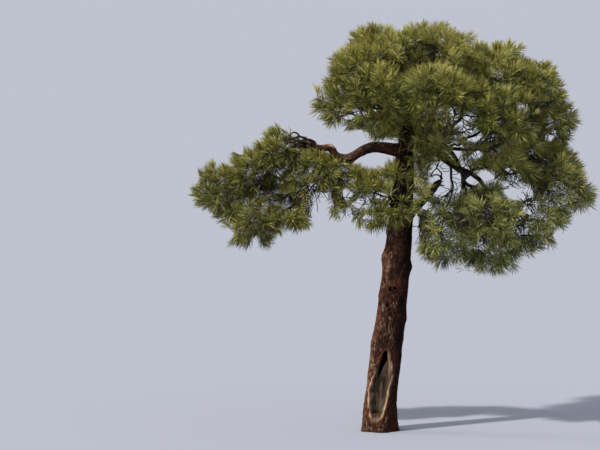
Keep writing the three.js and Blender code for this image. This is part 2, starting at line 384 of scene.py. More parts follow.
BAND_AWAY, BAND_WIDTH = 0.034, 0.026  # where the rusty band beside the lip runs


def across_front(turn):
    """-1 at the trunk's left side, 1 at its right, and 1 where the surface faces the viewer."""
    angle = 2 * math.pi * turn
    return np.cos(angle), ease(0.0, 0.3, -np.sin(angle))


def scar_layers(turn, height):
    """How far the surface goes in, and where it is bare, lip, hole, pale and rusty beside the lip; the holes
    are painted dark as shade.
    """
    rows = np.asarray(SCAR_ROWS)
    share, front = across_front(turn)
    wander = 0.05 * soft_noise(turn, height, 30, 0.05, 31) + 0.04 * soft_noise(turn, height, 12, 0.13, 34)
    left = np.interp(height, rows[:, 0], rows[:, 1]) + wander
    right = np.interp(height, rows[:, 0], rows[:, 2]) + wander
    bulge = np.sqrt(np.clip(1 - share**2, 0.08, 1))
    sideways = np.minimum((share - left) / bulge**0.5, right - share) * FOOT_RADIUS
    upright = np.minimum(height - rows[0, 0], rows[-1, 0] - height)
    inside = np.minimum(sideways, 0.5 * upright)
    bare = ease(-0.003, 0.006, inside) * front
    basin = ease(0.0, BASIN_WIDTH, inside) * front
    lip = np.exp(-(((inside + 0.75 * LIP_WIDTH) / LIP_WIDTH) ** 2)) * front * ease(*LIP_FOOT, height)
    lip = lip * ease(*LIP_TOP, height) * ease(-1.0, -0.1, soft_noise(turn, height, 16, 0.09, 35))
    caves = np.asarray(CAVE_ROWS)
    middle = np.interp(height, caves[:, 0], caves[:, 1]) + 0.02 * soft_noise(turn, height, 3, 0.08, 36)
    half = np.interp(height, caves[:, 0], caves[:, 2])
    beside = (share - middle) * FOOT_RADIUS
    within = (height > caves[0, 0]) & (height < caves[-1, 0])
    cave = ease(1.2, 0.8, np.abs(beside) / half) * within * front
    wedge = bare * ease(0.0, 0.008, beside - half) * ease(TAN_WEDGE[0] - 0.12, TAN_WEDGE[0] + 0.06, height)
    wedge = wedge * ease(TAN_WEDGE[1] + 0.02, TAN_WEDGE[1] - 0.02, height)
    knob_share, knob_height, knob_size = LIP_KNOB
    knob = np.hypot((share - knob_share) * FOOT_RADIUS, 0.8 * (height - knob_height)) / knob_size
    fresh = lip * (1 - ease(0.66, 0.76, height) * (share < middle)) * (1 - 0.75 * ease(0.78, 0.88, height))
    pale = np.maximum(np.maximum(fresh, np.exp(-(knob**2)) * front), 0.42 * wedge)
    band = np.exp(-(((inside + BAND_AWAY) / BAND_WIDTH) ** 2)) * (inside < -0.004) * front
    band = band * ease(1.12, 1.0, height) * ease(0.05, 0.16, height)
    slit_share, slit_height, slit_half, slit_rise = FOOT_SLIT
    slit = np.hypot((share - slit_share) * FOOT_RADIUS / slit_half, (height - slit_height) / slit_rise)
    # The cave and the slit at the foot are painted dark: painted shade.
    hole = np.maximum(cave, ease(1.2, 0.6, slit) * front)
    grain = 0.005 * soft_noise(turn, height, 150, 0.16, 32) + 0.006 * soft_noise(turn, height, 60, 0.5, 33)
    push = SCAR_DEPTH * basin + 0.010 * bare + CAVE_DEPTH * cave + SLIT_DEPTH * (hole - cave) + bare * grain
    return push, bare, lip, hole, pale, band

# %% [markdown]
# ## Bark relief
#
# Two sizes of plates, a slow swell that makes the outline uneven, and upright furrows add up to the
# relief. The layer called crack_and_hole_shade remembers how far from a crack each place is, 0 in it
# and 1 on the plates, and the material darkens the low values: the cracks' own dark colour, deepened
# by painted shade. Holes and the sunk eye are written into the same layer and take the same painted
# shade.

# %% Relief of bark
PLATE_SHARE, FLAKE_SHARE, RIDGE_SHARE, SWELL_SHARE = 0.34, 0.12, 0.16, 0.22  # of the relief, by size


def bark_relief(turn, rise, girth, flake, seed):
    """Height of the bark above the limb's plain radius, and the layers of crack shade and of tone."""
    columns = max(6, round(2 * math.pi * girth / flake))
    bend_u = soft_noise(turn, rise, columns, 1.5 * flake, seed) * 0.5 / columns
    bend_v = soft_noise(turn, rise, columns, 1.5 * flake, seed + 1) * 0.6 * flake
    edge, own = plates(turn + bend_u, rise + bend_v, columns, 1.5 * flake, seed + 2)
    small, fleck = plates(turn + 0.5 * bend_u, rise, 2 * columns, 0.9 * flake, seed + 3)
    ridge = soft_noise(turn + bend_u, rise, max(4, columns // 2), 4 * flake, seed + 4)
    swell = soft_noise(turn, rise, 5, 9 * flake, seed + 5)
    patch = soft_noise(turn, rise, max(4, columns // 3), 4 * flake, seed + 6)
    raised = ease(0.03, 0.30, edge) * (0.45 + 0.55 * own)
    height = PLATE_SHARE * raised + FLAKE_SHARE * ease(0.02, 0.35, small) + RIDGE_SHARE * ridge
    height = height + SWELL_SHARE * swell - PLATE_SHARE
    crack_and_hole_shade = ease(0.02, 0.22, edge) * (0.5 + 0.5 * ease(0.0, 0.3, small)) * ease(-0.9, 0.0, ridge + own)
    tone = 0.22 + 0.40 * own + 0.22 * fleck + 0.22 * patch
    return height * flake, np.clip(crack_and_hole_shade, 0, 1), np.clip(tone, 0, 1)

# %% Trunk skin
TRUNK_FLAKE = 0.028
TRUNK_SEED = 7
KNOT_RIM = 0.010  # how far the bark stands up round a knot hole
LOW_GIRTH = 0.005  # by how much the lower trunk is wider than its stations say


def trunk_height(share):
    """Height at a share of the way up the grid, which is coarser where the stations are further apart."""
    return np.interp(share * (len(heights) - 1), np.arange(len(heights)), heights)


def knot_holes(turn, height):
    """How far the rims of the knot holes stand up, how dark the holes are painted as shade, and how deep
    they are.
    """
    share, front = across_front(turn)
    radius = np.interp(height, heights, trunk_girth)
    rim, hole, depth = np.zeros_like(height), np.zeros_like(height), np.zeros_like(height)
    ragged = 0.35 * soft_noise(turn, height, 60, 0.02, 58)
    for hole_height, hole_share, wide, high, deep in KNOT_HOLES:
        gap = np.hypot((share - hole_share) * radius / wide, (height - hole_height) / high) + ragged
        rim = rim + KNOT_RIM * np.exp(-3 * (gap - 1.5) ** 2) * front
        # Painted shade in the knot holes.
        hole = np.maximum(hole, 0.85 * front * ease(1.2, 0.7, gap))
        depth = np.maximum(depth, deep * front * ease(1.2, 0.6, gap))
    return rim, hole, depth


def trunk_radius(turn, share):
    """The trunk's girth with its flare, its knobs, the lip round the scar and the bark's relief."""
    height = trunk_height(share)
    radius = np.interp(height, heights, trunk_girth)
    lobes = 1 + 0.6 * np.cos(FLARE_LOBES * (2 * math.pi * turn) + 0.8)
    radius = radius + FLARE_SPREAD * lobes * np.exp(-height / FLARE_HEIGHT)
    for knob_height, bearing, swell, reach in TRUNK_KNOBS:
        gap = np.hypot(around(turn, bearing) * radius, height - knob_height) / reach
        radius = radius + swell * np.exp(-2 * gap**2)
    _, bare, lip, _, _, _ = scar_layers(turn, height)
    relief, _, _ = bark_relief(turn, height, FOOT_RADIUS, TRUNK_FLAKE, TRUNK_SEED)
    thin = np.clip(radius / FOOT_RADIUS, 0.35, 1)
    radius = radius + LOW_GIRTH * ease(2.2, 1.6, height)
    rim = knot_holes(turn, height)[0]
    return radius + relief * thin * (1 - bare) * (1 - 0.7 * lip) + LIP_HEIGHT * lip + rim


def trunk_shift(turn, share):
    """The scar and the knot holes go straight in, away from the viewer."""
    height = trunk_height(share)
    inwards = scar_layers(turn, height)[0] + knot_holes(turn, height)[2]
    return np.column_stack([0.12 * inwards, inwards, np.zeros_like(inwards)])


def trunk_layers(turn, share):
    """The layers that colour the trunk: painted light on the left, painted shade on the right and in the
    holes, and paler at the foot.
    """
    height = trunk_height(share)
    _, bare, _, dark, pale, band = scar_layers(turn, height)
    _, crack_and_hole_shade, tone = bark_relief(turn, height, FOOT_RADIUS, TRUNK_FLAKE, TRUNK_SEED)
    share, _ = across_front(turn)
    # Painted light on the trunk's left side and painted shade on its right side, which faces away from the
    # light.
    tone = tone + 0.18 * ease(0.2, 0.95, -share) - 0.42 * ease(0.15, 0.75, share)
    tone = tone + 0.08 * ease(1.3, 0.6, height)
    # The holes are painted dark: painted shade.
    lit = 1 - np.maximum(dark, knot_holes(turn, height)[1])
    rust = 0.8 * ease(-0.1, 0.7, soft_noise(turn, height, 7, 0.20, 51)) * ease(2.6, 1.9, height)
    # Rust fades on the right side, which deepens the painted shade there.
    rust = np.maximum(rust, band) * (1 - 0.6 * ease(0.3, 0.9, share))
    return {"crack_and_hole_shade": crack_and_hole_shade * lit, "tone": tone, "wound": bare * lit, "callus": pale * lit, "rust": rust}


grid = (len(heights) - 1, TRUNK_ROWS)
trunk = wrap("trunk_bark", trunk_line, level_frames, trunk_radius, grid, trunk_layers, trunk_shift)
print(f"trunk foot at {min(vertex.co.z for vertex in trunk.data.vertices) * 1000:.1f} mm")

# %% [markdown]
# ## The big boughs
#
# Each bough is drawn as a line of points with a thickness at each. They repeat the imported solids, and
# run on into the foliage, where the twigs will start from them. The long bough sags and climbs again
# after a knuckle. It carries a healed wound and a swollen knot, on which a lost branch has left a
# raised ring round a sunk eye.

# %% Boughs as lines
BOUGHS = {  # each row: x, y, z, radius, in millimetres
    "long_bough": [
        (300, 0, 3430, 110), (180, -20, 3445, 78), (40, -50, 3475, 68), (-60, -60, 3482, 66),
        (-170, -55, 3455, 60), (-280, -45, 3395, 54), (-372, -30, 3342, 60), (-455, -20, 3345, 50),
        (-540, -10, 3385, 44), (-600, 0, 3465, 50), (-690, 10, 3468, 36), (-775, 15, 3470, 41),
        (-845, 10, 3503, 72), (-915, 10, 3516, 64), (-980, 5, 3500, 38), (-1080, 0, 3460, 27),
        (-1180, 0, 3400, 22), (-1320, 20, 3310, 16), (-1520, 20, 3170, 9),
    ],
    "right_bough": [
        (340, -20, 3500, 80), (500, -60, 3480, 58), (670, -80, 3420, 50), (900, -90, 3255, 42),
        (1010, -85, 3195, 36), (1110, -70, 3155, 30), (1240, -50, 3050, 26), (1300, -30, 2900, 20),
        (1380, 0, 2700, 12),
    ],
    "right_bough_drop": [
        (1005, -80, 3205, 24), (1022, -95, 3150, 31), (1010, -110, 3040, 29), (1035, -110, 2940, 24),
        (1060, -90, 2800, 18), (980, -70, 2620, 12),
    ],
    "thin_drop": [
        (850, -88, 3300, 19), (862, -110, 3200, 16), (862, -120, 3110, 15), (880, -120, 3010, 13),
        (860, -120, 2880, 9), (780, -140, 2700, 6),
    ],
    "right_upper_bough": [
        (340, 20, 3650, 62), (500, 20, 3580, 40), (730, 10, 3490, 28), (1010, 0, 3445, 18),
        (1200, 10, 3450, 16), (1420, 20, 3490, 14), (1700, 30, 3620, 10),
    ],
    "rear_bough": [
        (300, 30, 3450, 76), (380, 120, 3505, 60), (480, 220, 3540, 52), (620, 325, 3540, 48),
        (760, 420, 3500, 38), (880, 495, 3400, 28), (980, 560, 3250, 22), (1040, 630, 3070, 20),
        (1070, 680, 2900, 18), (1120, 705, 2750, 16), (1180, 720, 2620, 12),
    ],
    "rear_high_bough": [
        (320, 20, 3620, 52), (370, 110, 3700, 42), (420, 220, 3790, 38), (520, 420, 3950, 32),
        (700, 620, 4150, 18),
    ],
    "low_left_bough": [
        (250, -50, 2980, 30), (190, -110, 2930, 22), (115, -130, 2850, 17), (30, -110, 2745, 15),
        (-90, -90, 2705, 12), (-190, -80, 2675, 9), (-310, -70, 2660, 6),
    ],
    "dead_stub": [
        (300, -40, 2560, 70), (365, -65, 2640, 54), (430, -90, 2720, 47), (570, -120, 2880, 42),
        (650, -127, 2980, 43), (700, -130, 3040, 38), (735, -132, 3085, 16),
    ],
}
BOUGH_SWELLINGS = {  # share along, bearing (0 down, -90 to the viewer, 180 up), swell, reach
    "long_bough": [
        (0.335, 0, 0.034, 0.030),
        (0.505, -130, 0.016, 0.040),
        (0.655, -20, 0.012, 0.050),
        (0.640, 170, 0.010, 0.040),
        (0.590, 60, 0.012, 0.040),
    ],
    "right_bough": [(0.45, 180, 0.012, 0.04)],
    "dead_stub": [(0.82, 60, 0.012, 0.03), (0.93, 180, 0.012, 0.02)],
}
HEALED_WOUND = ("long_bough", 0.507, -142, 0.032)  # bough, share along, bearing, reach
WHORL = ("long_bough", 0.700, -95, 0.036)  # the same, for the ring left by a lost branch
bough_lines = {name: smooth_line(in_metres(rows), 160) for name, rows in BOUGHS.items()}
print({name: round(line_length(line), 2) for name, line in bough_lines.items()})

# %% [markdown]
# A bough's bark has smaller plates than the trunk's. The function below counts how far along the limb
# a point is in metres, so that the plates of long boughs and of short ones have the same size.

# %% Bough skins
BOUGH_FLAKE = 0.022
COLUMN_STEP = 0.0115  # length of bough for each column of faces round it
ROWS_BY_GIRTH = [(0.04, 48), (0.02, 32), (0.0, 18)]  # mean radius from which a bough has so many rows
WHORL_GIRTH, WOUND_GIRTH = 0.07, 0.05  # the bough's radius at the ring and at the healed wound


def swellings(name, turn, share, rise, radius):
    """Extra radius from knots, stubs and healed wounds on one bough."""
    extra = np.zeros_like(turn)
    for at, bearing, swell, reach in BOUGH_SWELLINGS.get(name, []):
        gap = np.hypot(around(turn, bearing) * radius, (share - at) * rise.max()) / reach
        extra = extra + swell * np.exp(-2 * gap**2)
    return extra


def whorl(name, turn, share, length):
    """The raised ring and the sunk eye where a branch was lost."""
    if WHORL[0] != name:
        return np.zeros_like(turn), np.zeros_like(turn)
    gap = np.hypot(around(turn, WHORL[2]) * WHORL_GIRTH, (share - WHORL[1]) * length) / WHORL[3]
    return np.exp(-(((gap - 0.9) / 0.22) ** 2)), ease(0.66, 0.35, gap)


def bough_skin(name, seed):
    """The skin of one bough, with the layers that colour it."""
    rows = bough_lines[name]
    line, girths = rows[:, :3], rows[:, 3]
    length = line_length(rows)
    girth = float(girths.mean())
    rows_along = next(count for least, count in ROWS_BY_GIRTH if girth > least)
    grid = (max(12, round(length / COLUMN_STEP)), rows_along)

    def radius_at(turn, share):
        plain = np.interp(share, np.linspace(0, 1, len(girths)), girths)
        rise = share * length
        relief, _, _ = bark_relief(turn, rise, girth, BOUGH_FLAKE, seed)
        thin = np.clip(plain / 0.05, 0.2, 1)
        tip = np.sqrt(np.clip((1 - share) * length / 0.02, 0, 1))
        ring, eye = whorl(name, turn, share, length)
        swell = swellings(name, turn, share, rise, plain) + 0.008 * ring - 0.020 * eye
        return (plain + relief * thin + swell) * tip + 0.0004

    def layers_at(turn, share):
        rise = share * length
        _, crack_and_hole_shade, tone = bark_relief(turn, rise, girth, BOUGH_FLAKE, seed)
        callus = np.zeros_like(turn)
        up = np.cos(around(turn, 180))
        if HEALED_WOUND[0] == name:
            gap = np.hypot(around(turn, HEALED_WOUND[2]) * WOUND_GIRTH, (share - HEALED_WOUND[1]) * length)
            callus = ease(1.1, 0.6, gap / HEALED_WOUND[3])
        ring, eye = whorl(name, turn, share, length)
        bulb = np.exp(-(((share - WHORL[1]) * length / 0.08) ** 2)) * (name == WHORL[0])
        # Lighter on each bough's top and darker on its underside: painted light and painted shade. The
        # whorl's ring is lighter and the bulb darker.
        tone = tone + 0.28 * up + 0.75 * ring - 0.95 * bulb * (1 - ring)
        none = np.zeros_like(turn)
        # Rust fades on the top and on the underside of the long bough, which leaves painted light on top and
        # painted shade beneath.
        rust = 0.95 * ease(-0.1, 0.6, soft_noise(turn, rise, 3, 0.11, seed + 8)) * (1 - ring)
        rust = rust * (name == "long_bough") * (1 - bulb) * ease(0.9, 0.1, up) * ease(-1.0, -0.45, up)
        # The sunk eye takes the cracks' near-black colour: painted shade.
        return {"crack_and_hole_shade": crack_and_hole_shade * (1 - eye), "tone": tone, "wound": none, "callus": callus, "rust": rust}

    return wrap(name + "_bark", line, frames_along(line), radius_at, grid, layers_at)


boughs = {name: bough_skin(name, 40 + 9 * index) for index, name in enumerate(BOUGHS)}

# %% [markdown]
# ## Where the sprays of needles go
#
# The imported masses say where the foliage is. A copy of each is swollen a little, so that neighbours
# overlap, and all of them are remeshed into one outer shell. The walls between neighbours vanish, and
# the distance to the shell is the true depth inside the crown. Sprays are then set as in a real crown:
# close together just under the outside, where the light is, and sparse further in.

# %% One shell round all foliage
SHELL_VOXEL = 0.035
SWELL = 0.022  # closes the narrow seams between the masses


def foliage_shell():
    """A search tree over the skin of all masses together."""
    bm = bmesh.new()
    for name in mass_nodes:
        bm.from_mesh(frame["nodes"][name].data)
    bmesh.ops.remove_doubles(bm, verts=bm.verts, dist=1e-5)
    shell = show("foliage_shell", mesh_of("foliage_shell", bm))
    swell = shell.modifiers.new("swell", "DISPLACE")
    swell.strength = SWELL
    swell.mid_level = 0
    remesh = shell.modifiers.new("one skin", "REMESH")
    remesh.mode = "VOXEL"
    remesh.voxel_size = SHELL_VOXEL
    graph = bpy.context.evaluated_depsgraph_get()
    tree = BVHTree.FromObject(shell, graph)
    count = len(shell.evaluated_get(graph).data.polygons)
    bpy.data.objects.remove(shell)
    print(f"foliage shell: {count} faces")
    return tree


shell_tree = foliage_shell()


def depth_inside(point):
    """Depth under the masses' skin in metres, negative outside, and the outward direction there."""
    nearest, normal, _, distance = shell_tree.find_nearest(Vector(point))
    outward = Vector(point) - nearest
    inside = outward.dot(normal) < 0
    return (distance if inside else -distance) - SWELL, np.array(normal)

# %% [markdown]
# The crown has windows where the sky shows through, hollows where the front is bare and one looks in
# on dark twigs, and notches where its outline steps back. All are ragged ovals, given by side and by
# the height at which the camera sees them, and are kept free of needles. Twigs may still cross the
# windows and the hollows. Places of painted shade and light are ovals too, in which the sprays are
# painted darker as shade or, where their number is below zero, lighter as painted light.

# %% Windows, hollows, notches and places of painted shade and light in the crown
SKY_WINDOWS = in_metres([  # x, seen height, half width, half height
    (872, 3886, 49, 55), (927, 3782, 49, 37), (1074, 3825, 45, 45), (1074, 3684, 49, 45),
    (1147, 3599, 67, 43), (921, 3404, 43, 79), (1183, 3386, 61, 43), (793, 3135, 61, 146),
    (744, 2940, 110, 61), (683, 3154, 67, 61), (933, 3148, 55, 73), (939, 2977, 49, 73),
    (1116, 3074, 61, 55), (1299, 3117, 79, 55), (1549, 3178, 49, 43), (1659, 3111, 61, 43),
    (1549, 3026, 55, 34), (1647, 2904, 110, 64), (1781, 2904, 85, 73), (1818, 2733, 61, 73),
    (2098, 3617, 49, 55), (-830, 2977, 61, 49), (-403, 2891, 61, 49), (-232, 2769, 110, 55),
    (-403, 2635, 52, 110), (-140, 2617, 43, 43), (0, 2879, 40, 34), (-720, 2879, 85, 52),
    (1427, 3770, 37, 49), (-256, 3892, 85, 32), (-49, 3941, 73, 32), (-378, 3843, 73, 27),
    (1610, 2928, 85, 61),
])
HOLLOWS = in_metres([  # the same, bare in front only
    (488, 4612, 195, 122), (378, 4673, 73, 73), (634, 4636, 73, 98), (-1379, 3026, 122, 122),
    (-1427, 3099, 73, 61), (-1013, 3562, 146, 73), (-1098, 3550, 73, 61), (1330, 3587, 73, 49),
    (1427, 3538, 61, 49), (1867, 3331, 73, 43), (1989, 3270, 61, 61), (1928, 3245, 49, 37),
    (1757, 3855, 49, 85), (1818, 3733, 49, 49), (1952, 3977, 98, 37), (-1122, 2830, 73, 98),
    (305, 3648, 85, 110), (305, 3440, 73, 134), (98, 3501, 159, 61), (281, 3221, 73, 61),
    (268, 3001, 110, 85), (159, 2830, 49, 110), (342, 2830, 61, 98), (988, 2574, 85, 73),
    (1281, 2647, 37, 171), (1684, 2501, 67, 134), (1232, 2281, 49, 85),
])
NOTCHES = in_metres([  # the same, where the crown's outline steps back
    (-512, 4831, 122, 98), (439, 5063, 122, 49), (1391, 4856, 195, 49), (1928, 4624, 146, 73),
    (2269, 4465, 110, 98), (-866, 4148, 73, 85), (-756, 2672, 61, 146), (-952, 3672, 146, 73),
    (-1757, 3465, 98, 61), (-2294, 3123, 61, 134), (-1903, 2403, 98, 110), (-1525, 2306, 37, 73),
    (-293, 3605, 146, 58), (421, 2416, 34, 171), (427, 2599, 37, 73), (537, 2757, 61, 49),
    (159, 3538, 61, 43), (2184, 2391, 61, 73), (-1159, 3745, 73, 37),
])
# Places where the sprays take painted shade, or painted light where the number of tints is below zero.
PAINTED_SHADE_AND_LIGHT_PLACES = in_metres([  # the same, and by how many tints the sprays are darker there
    (-268, 4124, 232, 159, 1.3), (98, 3904, 122, 73, 0.7), (549, 3953, 85, 159, 0.9),
    (342, 3684, 98, 73, 1.2), (-183, 4575, 110, 61, 0.7), (-61, 4856, 49, 49, 1.0),
    (183, 4709, 98, 61, 0.6), (512, 4600, 220, 146, -0.2), (732, 3745, 146, 98, 0.6),
    (1854, 3904, 159, 122, 1.3), (1915, 3294, 146, 98, 1.8), (1366, 3562, 122, 73, 1.0),
    (1952, 2891, 85, 220, 1.2), (-1379, 3026, 134, 134, 3.8), (-1928, 3099, 61, 122, 1.0),
    (-1525, 2769, 85, 85, 1.0), (-1135, 2830, 85, 98, 1.8), (-1098, 3221, 146, 49, 1.0),
    (1122, 2159, 171, 73, 0.8), (1708, 2342, 98, 122, 0.8), (1318, 2574, 342, 244, 0.25),
    (1220, 2647, 122, 122, 0.5), (915, 2647, 98, 73, 0.9), (732, 3501, 342, 122, -0.9),
    (1537, 3343, 268, 134, -2.0), (-24, 3684, 220, 98, -1.2), (-427, 4587, 171, 98, -0.5),
    (0, 4636, 244, 85, -0.8), (915, 4636, 171, 110, -0.8), (268, 2952, 146, 293, 1.0),
    (305, 3343, 122, 73, 0.8), (549, 4392, 293, 73, 0.6), (708, 3538, 122, 98, -0.4),
    (512, 3257, 110, 61, 1.0), (2160, 3440, 195, 146, -1.0), (988, 2574, 98, 85, 1.0),
    (1684, 2501, 85, 146, 0.8), (1281, 2647, 61, 183, 0.8),
])
RAGGED = 0.3  # how far an oval's edge wanders, as a share of its size
HOLLOW_BACK = -0.05  # a hollow is bare in front of this distance behind the trunk's middle
HOLLOW_KEEPS = 0.09  # share of the needles' bundles that still cross a hollow


def in_ovals(points, ovals, reach=1.0):
    """Which points the camera sees inside one of the ovals, whose edges are ragged."""
    x, seen = points[..., 0], seen_height(points)
    ragged = RAGGED * np.sin(61 * x + 17 * seen) * np.sin(53 * seen - 29 * x)
    inside = np.zeros(points.shape[:-1], bool)
    for middle, height, half_width, half_height in ovals:
        gap = np.hypot((x - middle) / half_width, (seen - height) / half_height)
        inside |= gap < reach + ragged
    return inside


def in_hollow(points):
    """Which points lie in the bare front of a hollow."""
    return in_ovals(points, HOLLOWS) & (points[..., 1] < HOLLOW_BACK)


def kept_free(points):
    """Which points lie in a window or a notch, or in the bare front of a hollow."""
    return in_ovals(points, SKY_WINDOWS + NOTCHES) | in_hollow(points)


def dimness(points):
    """How many tints of painted shade the sprays take, full in the middle of each place and fading outwards.
    """
    seen = seen_height(points)
    dim = np.zeros(len(points))
    for middle, height, half_width, half_height, steps in PAINTED_SHADE_AND_LIGHT_PLACES:
        gap = np.hypot((points[:, 0] - middle) / half_width, (seen - height) / half_height)
        dim = dim + steps * ease(1.5, 0.6, gap)
    return dim

# %% Sprays spread through the masses
SPRAY_DEPTH = 0.045  # how far inside the shell the outermost shoots end
SPRAY_GAP = 0.122  # least distance between two shoots just under the shell
DEEP_GAP = 0.42  # how fast that distance grows with depth
SPRAY_TRIES = 70000
AIRY = {"low_right": 1.05, "low_left": 1.20, "right_middle": 1.10, "arm": 0.95}  # gap factor by name

rng = np.random.default_rng(SEED)
boxes = np.array([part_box(name) for name in mass_nodes])
volumes = np.prod(boxes[:, 1] - boxes[:, 0], axis=1)
picked = rng.choice(len(boxes), SPRAY_TRIES, p=volumes / volumes.sum())
low_corner, high_corner = boxes[picked, 0], boxes[picked, 1]
tries = low_corner + rng.random((SPRAY_TRIES, 3)) * (high_corner - low_corner)
airy = [next((AIRY[part] for part in AIRY if name.startswith(part)), 1.0) for name in mass_nodes]


def spread_sprays(points, thinning):
    """Keeps the points that lie deep enough and far enough from the ones kept before."""
    kept, depths, outwards = np.zeros((len(points), 3)), [], []
    for point, wider in zip(points, thinning):
        depth, outward = depth_inside(point)
        if depth < SPRAY_DEPTH * rng.uniform(0.6, 1.1) or kept_free(point):
            continue
        gap = wider * SPRAY_GAP + DEEP_GAP * max(0.0, depth - 1.7 * SPRAY_DEPTH)
        count = len(depths)
        if count and np.min(np.sum((kept[:count] - point) ** 2, axis=1)) < gap * gap:
            continue
        kept[count] = point
        depths.append(depth)
        outwards.append(outward)
    return kept[: len(depths)], np.array(depths), np.array(outwards)


spray_at, spray_depth, spray_out = spread_sprays(tries, np.array(airy)[picked])
print(f"{len(spray_at)} sprays, {np.sum(spray_depth < 0.2)} of them just under the shell")

# %% [markdown]
# ## Loose sprays and bare shoots
#
# Some sprays stand alone in front of the trunk and beside the openings, outside any mass. They are
# placed one by one. Others are thin and veil the openings, which have no clean edge on the tree. Where
# light no longer reaches, shoots lose their needles but stay on the tree, so a number of targets get a
# twig and nothing more. These bare shoots are the dark lace in the gaps.

# %% Loose sprays and bare shoots
LOOSE_SPRAYS = [  # x, y, z of the shoot's end, in centimetres
    (94, -25, 357), (102, -20, 353), (82, -30, 340), (71, -32, 341), (59, -32, 333), (66, -36, 356),
    (54, -38, 347), (49, -34, 327), (43, -30, 312), (121, -20, 378), (128, -20, 373), (127, -15, 338),
    (123, -12, 328), (145, -45, 348), (156, -50, 343), (163, -50, 335), (172, -45, 325), (184, -40, 320),
    (106, -5, 335), (115, -5, 329), (153, -50, 363), (162, -55, 371), (173, -50, 360), (161, -50, 352),
    (92, 10, 306), (162, 12, 318), (18, -34, 322), (10, -33, 301), (34, -34, 299), (26, -33, 284),
    (13, -32, 272), (37, -31, 271), (120, -15, 385), (99, 5, 392), (133, -15, 367), (133, -20, 381),
    (81, -25, 362), (122, -18, 350), (52, -28, 306), (46, -30, 295), (57, -25, 320), (150, -20, 327),
    (162, -10, 318), (190, -12, 305), (82, -20, 373), (89, -15, 368), (115, -15, 349), (107, -10, 350),
    (116, 0, 337), (92, -26, 328), (98, -24, 321), (115, -12, 322), (139, -15, 299), (132, -15, 296),
    (148, -15, 296), (171, 5, 305), (84, -15, 294), (165, -20, 278), (156, -25, 281), (143, -30, 334),
    (134, -20, 336), (139, -10, 325), (-76, -10, 333), (-66, -5, 333), (-71, 5, 336), (-56, -8, 329),
    (-46, -10, 325), (-37, -10, 322), (-27, -15, 317), (-18, -10, 314), (-10, -10, 313), (0, -15, 316),
    (9, -15, 318), (-88, -5, 337), (51, -12, 460), (110, -35, 279), (143, -30, 285), (112, -10, 212),
    (104, 0, 207), (179, -10, 229), (194, -10, 226), (167, -20, 227), (54, -20, 219), (226, -10, 264),
    (248, 0, 288), (251, -10, 280), (106, -10, 479), (-10, -10, 491), (167, 0, 466), (227, 0, 397),
    (-76, -10, 396), (-60, -10, 379), (-9, -30, 366), (-218, 0, 279), (-194, 0, 264), (-170, -10, 234),
    (-139, -10, 234), (-107, -10, 257), (-94, -10, 254), (92, -25, 296), (115, -25, 297), (131, -25, 301),
    (144, -25, 297), (105, -25, 290), (5, -40, 374), (15, -40, 366), (-34, -50, 465), (-20, -55, 470),
    (-5, -60, 465), (7, -60, 470), (20, -70, 464), (12, -45, 478), (-10, -40, 477), (81, -60, 468),
    (93, -50, 472), (87, -75, 459), (100, -60, 463), (38, 25, 464), (45, 28, 468), (52, 25, 462),
    (41, 22, 455), (59, 30, 464), (48, 5, 457), (-129, 0, 365), (-43, -45, 450), (-29, -60, 454),
    (183, -10, 223), (165, -10, 218), (155, 0, 215), (117, 10, 212), (132, -10, 211), (144, 0, 212),
    (59, -10, 223), (68, 0, 218), (254, 0, 295), (251, 5, 285), (51, -10, 311), (211, 0, 364),
    (217, 10, 356), (-49, -10, 286), (49, -10, 330), (59, -10, 334), (46, -15, 323), (-31, -10, 372),
    (-26, -15, 375), (70, -15, 242), (62, -15, 244), (50, -5, 250), (50, -5, 236), (51, 0, 264),
    (-138, 10, 308), (-134, 12, 298), (-144, 12, 302), (-130, 10, 306), (-140, 15, 292), (-136, 2, 303),
    (30, -31, 313), (27, -32, 304), (36, -30, 302), (34, -32, 294), (31, -33, 284), (39, -31, 280),
    (37, -32, 270), (28, -34, 269), (41, -30, 337), (36, -30, 345), (50, -32, 290), (55, -34, 297),
    (47, -32, 280), (32, -33, 325),
]
HAZE_SPRAYS = [  # the same, thin ones in the gaps
    (93, 15, 387), (107, 15, 377), (100, 15, 363), (115, 20, 369), (117, 15, 341), (124, 15, 333),
    (71, 10, 324), (78, 10, 317), (154, 10, 318), (161, 15, 310), (171, 10, 317), (178, 10, 307),
    (146, 10, 307), (-89, 0, 300), (-81, 0, 293), (-71, 0, 300), (-59, 0, 295), (-76, 0, 288),
    (-54, 0, 285), (-98, 5, 292), (-18, -5, 280), (-11, -10, 250), (-4, -10, 257), (-54, -10, 268),
    (-44, -10, 279), (37, 30, 462), (44, 35, 466), (54, 30, 457), (63, 30, 452), (68, 35, 464),
    (59, 40, 468), (192, 10, 295), (85, 0, 224), (146, 0, 261), (146, 0, 315), (154, 10, 307),
    (162, 0, 303), (168, 10, 312), (-88, 10, 297), (-78, 10, 295), (-67, 0, 293), (178, 0, 281),
    (181, 10, 287), (105, 20, 388), (120, 10, 348), (82, 10, 331), (46, -20, 288), (55, -20, 295),
    (27, -32, 271), (22, -30, 312), (33, -30, 349), (-85, 5, 286), (-83, 0, 277), (-4, -10, 290),
    (-43, -5, 270), (-50, -5, 282),
]
HAZE_FULLNESS = 0.35  # share of the bundles that a haze spray has
BARE_SHOOTS = 420
HIGH_FROM, HIGH_SHARE = 3.45, 0.25  # above this height, only this share of the tries becomes a bare shoot

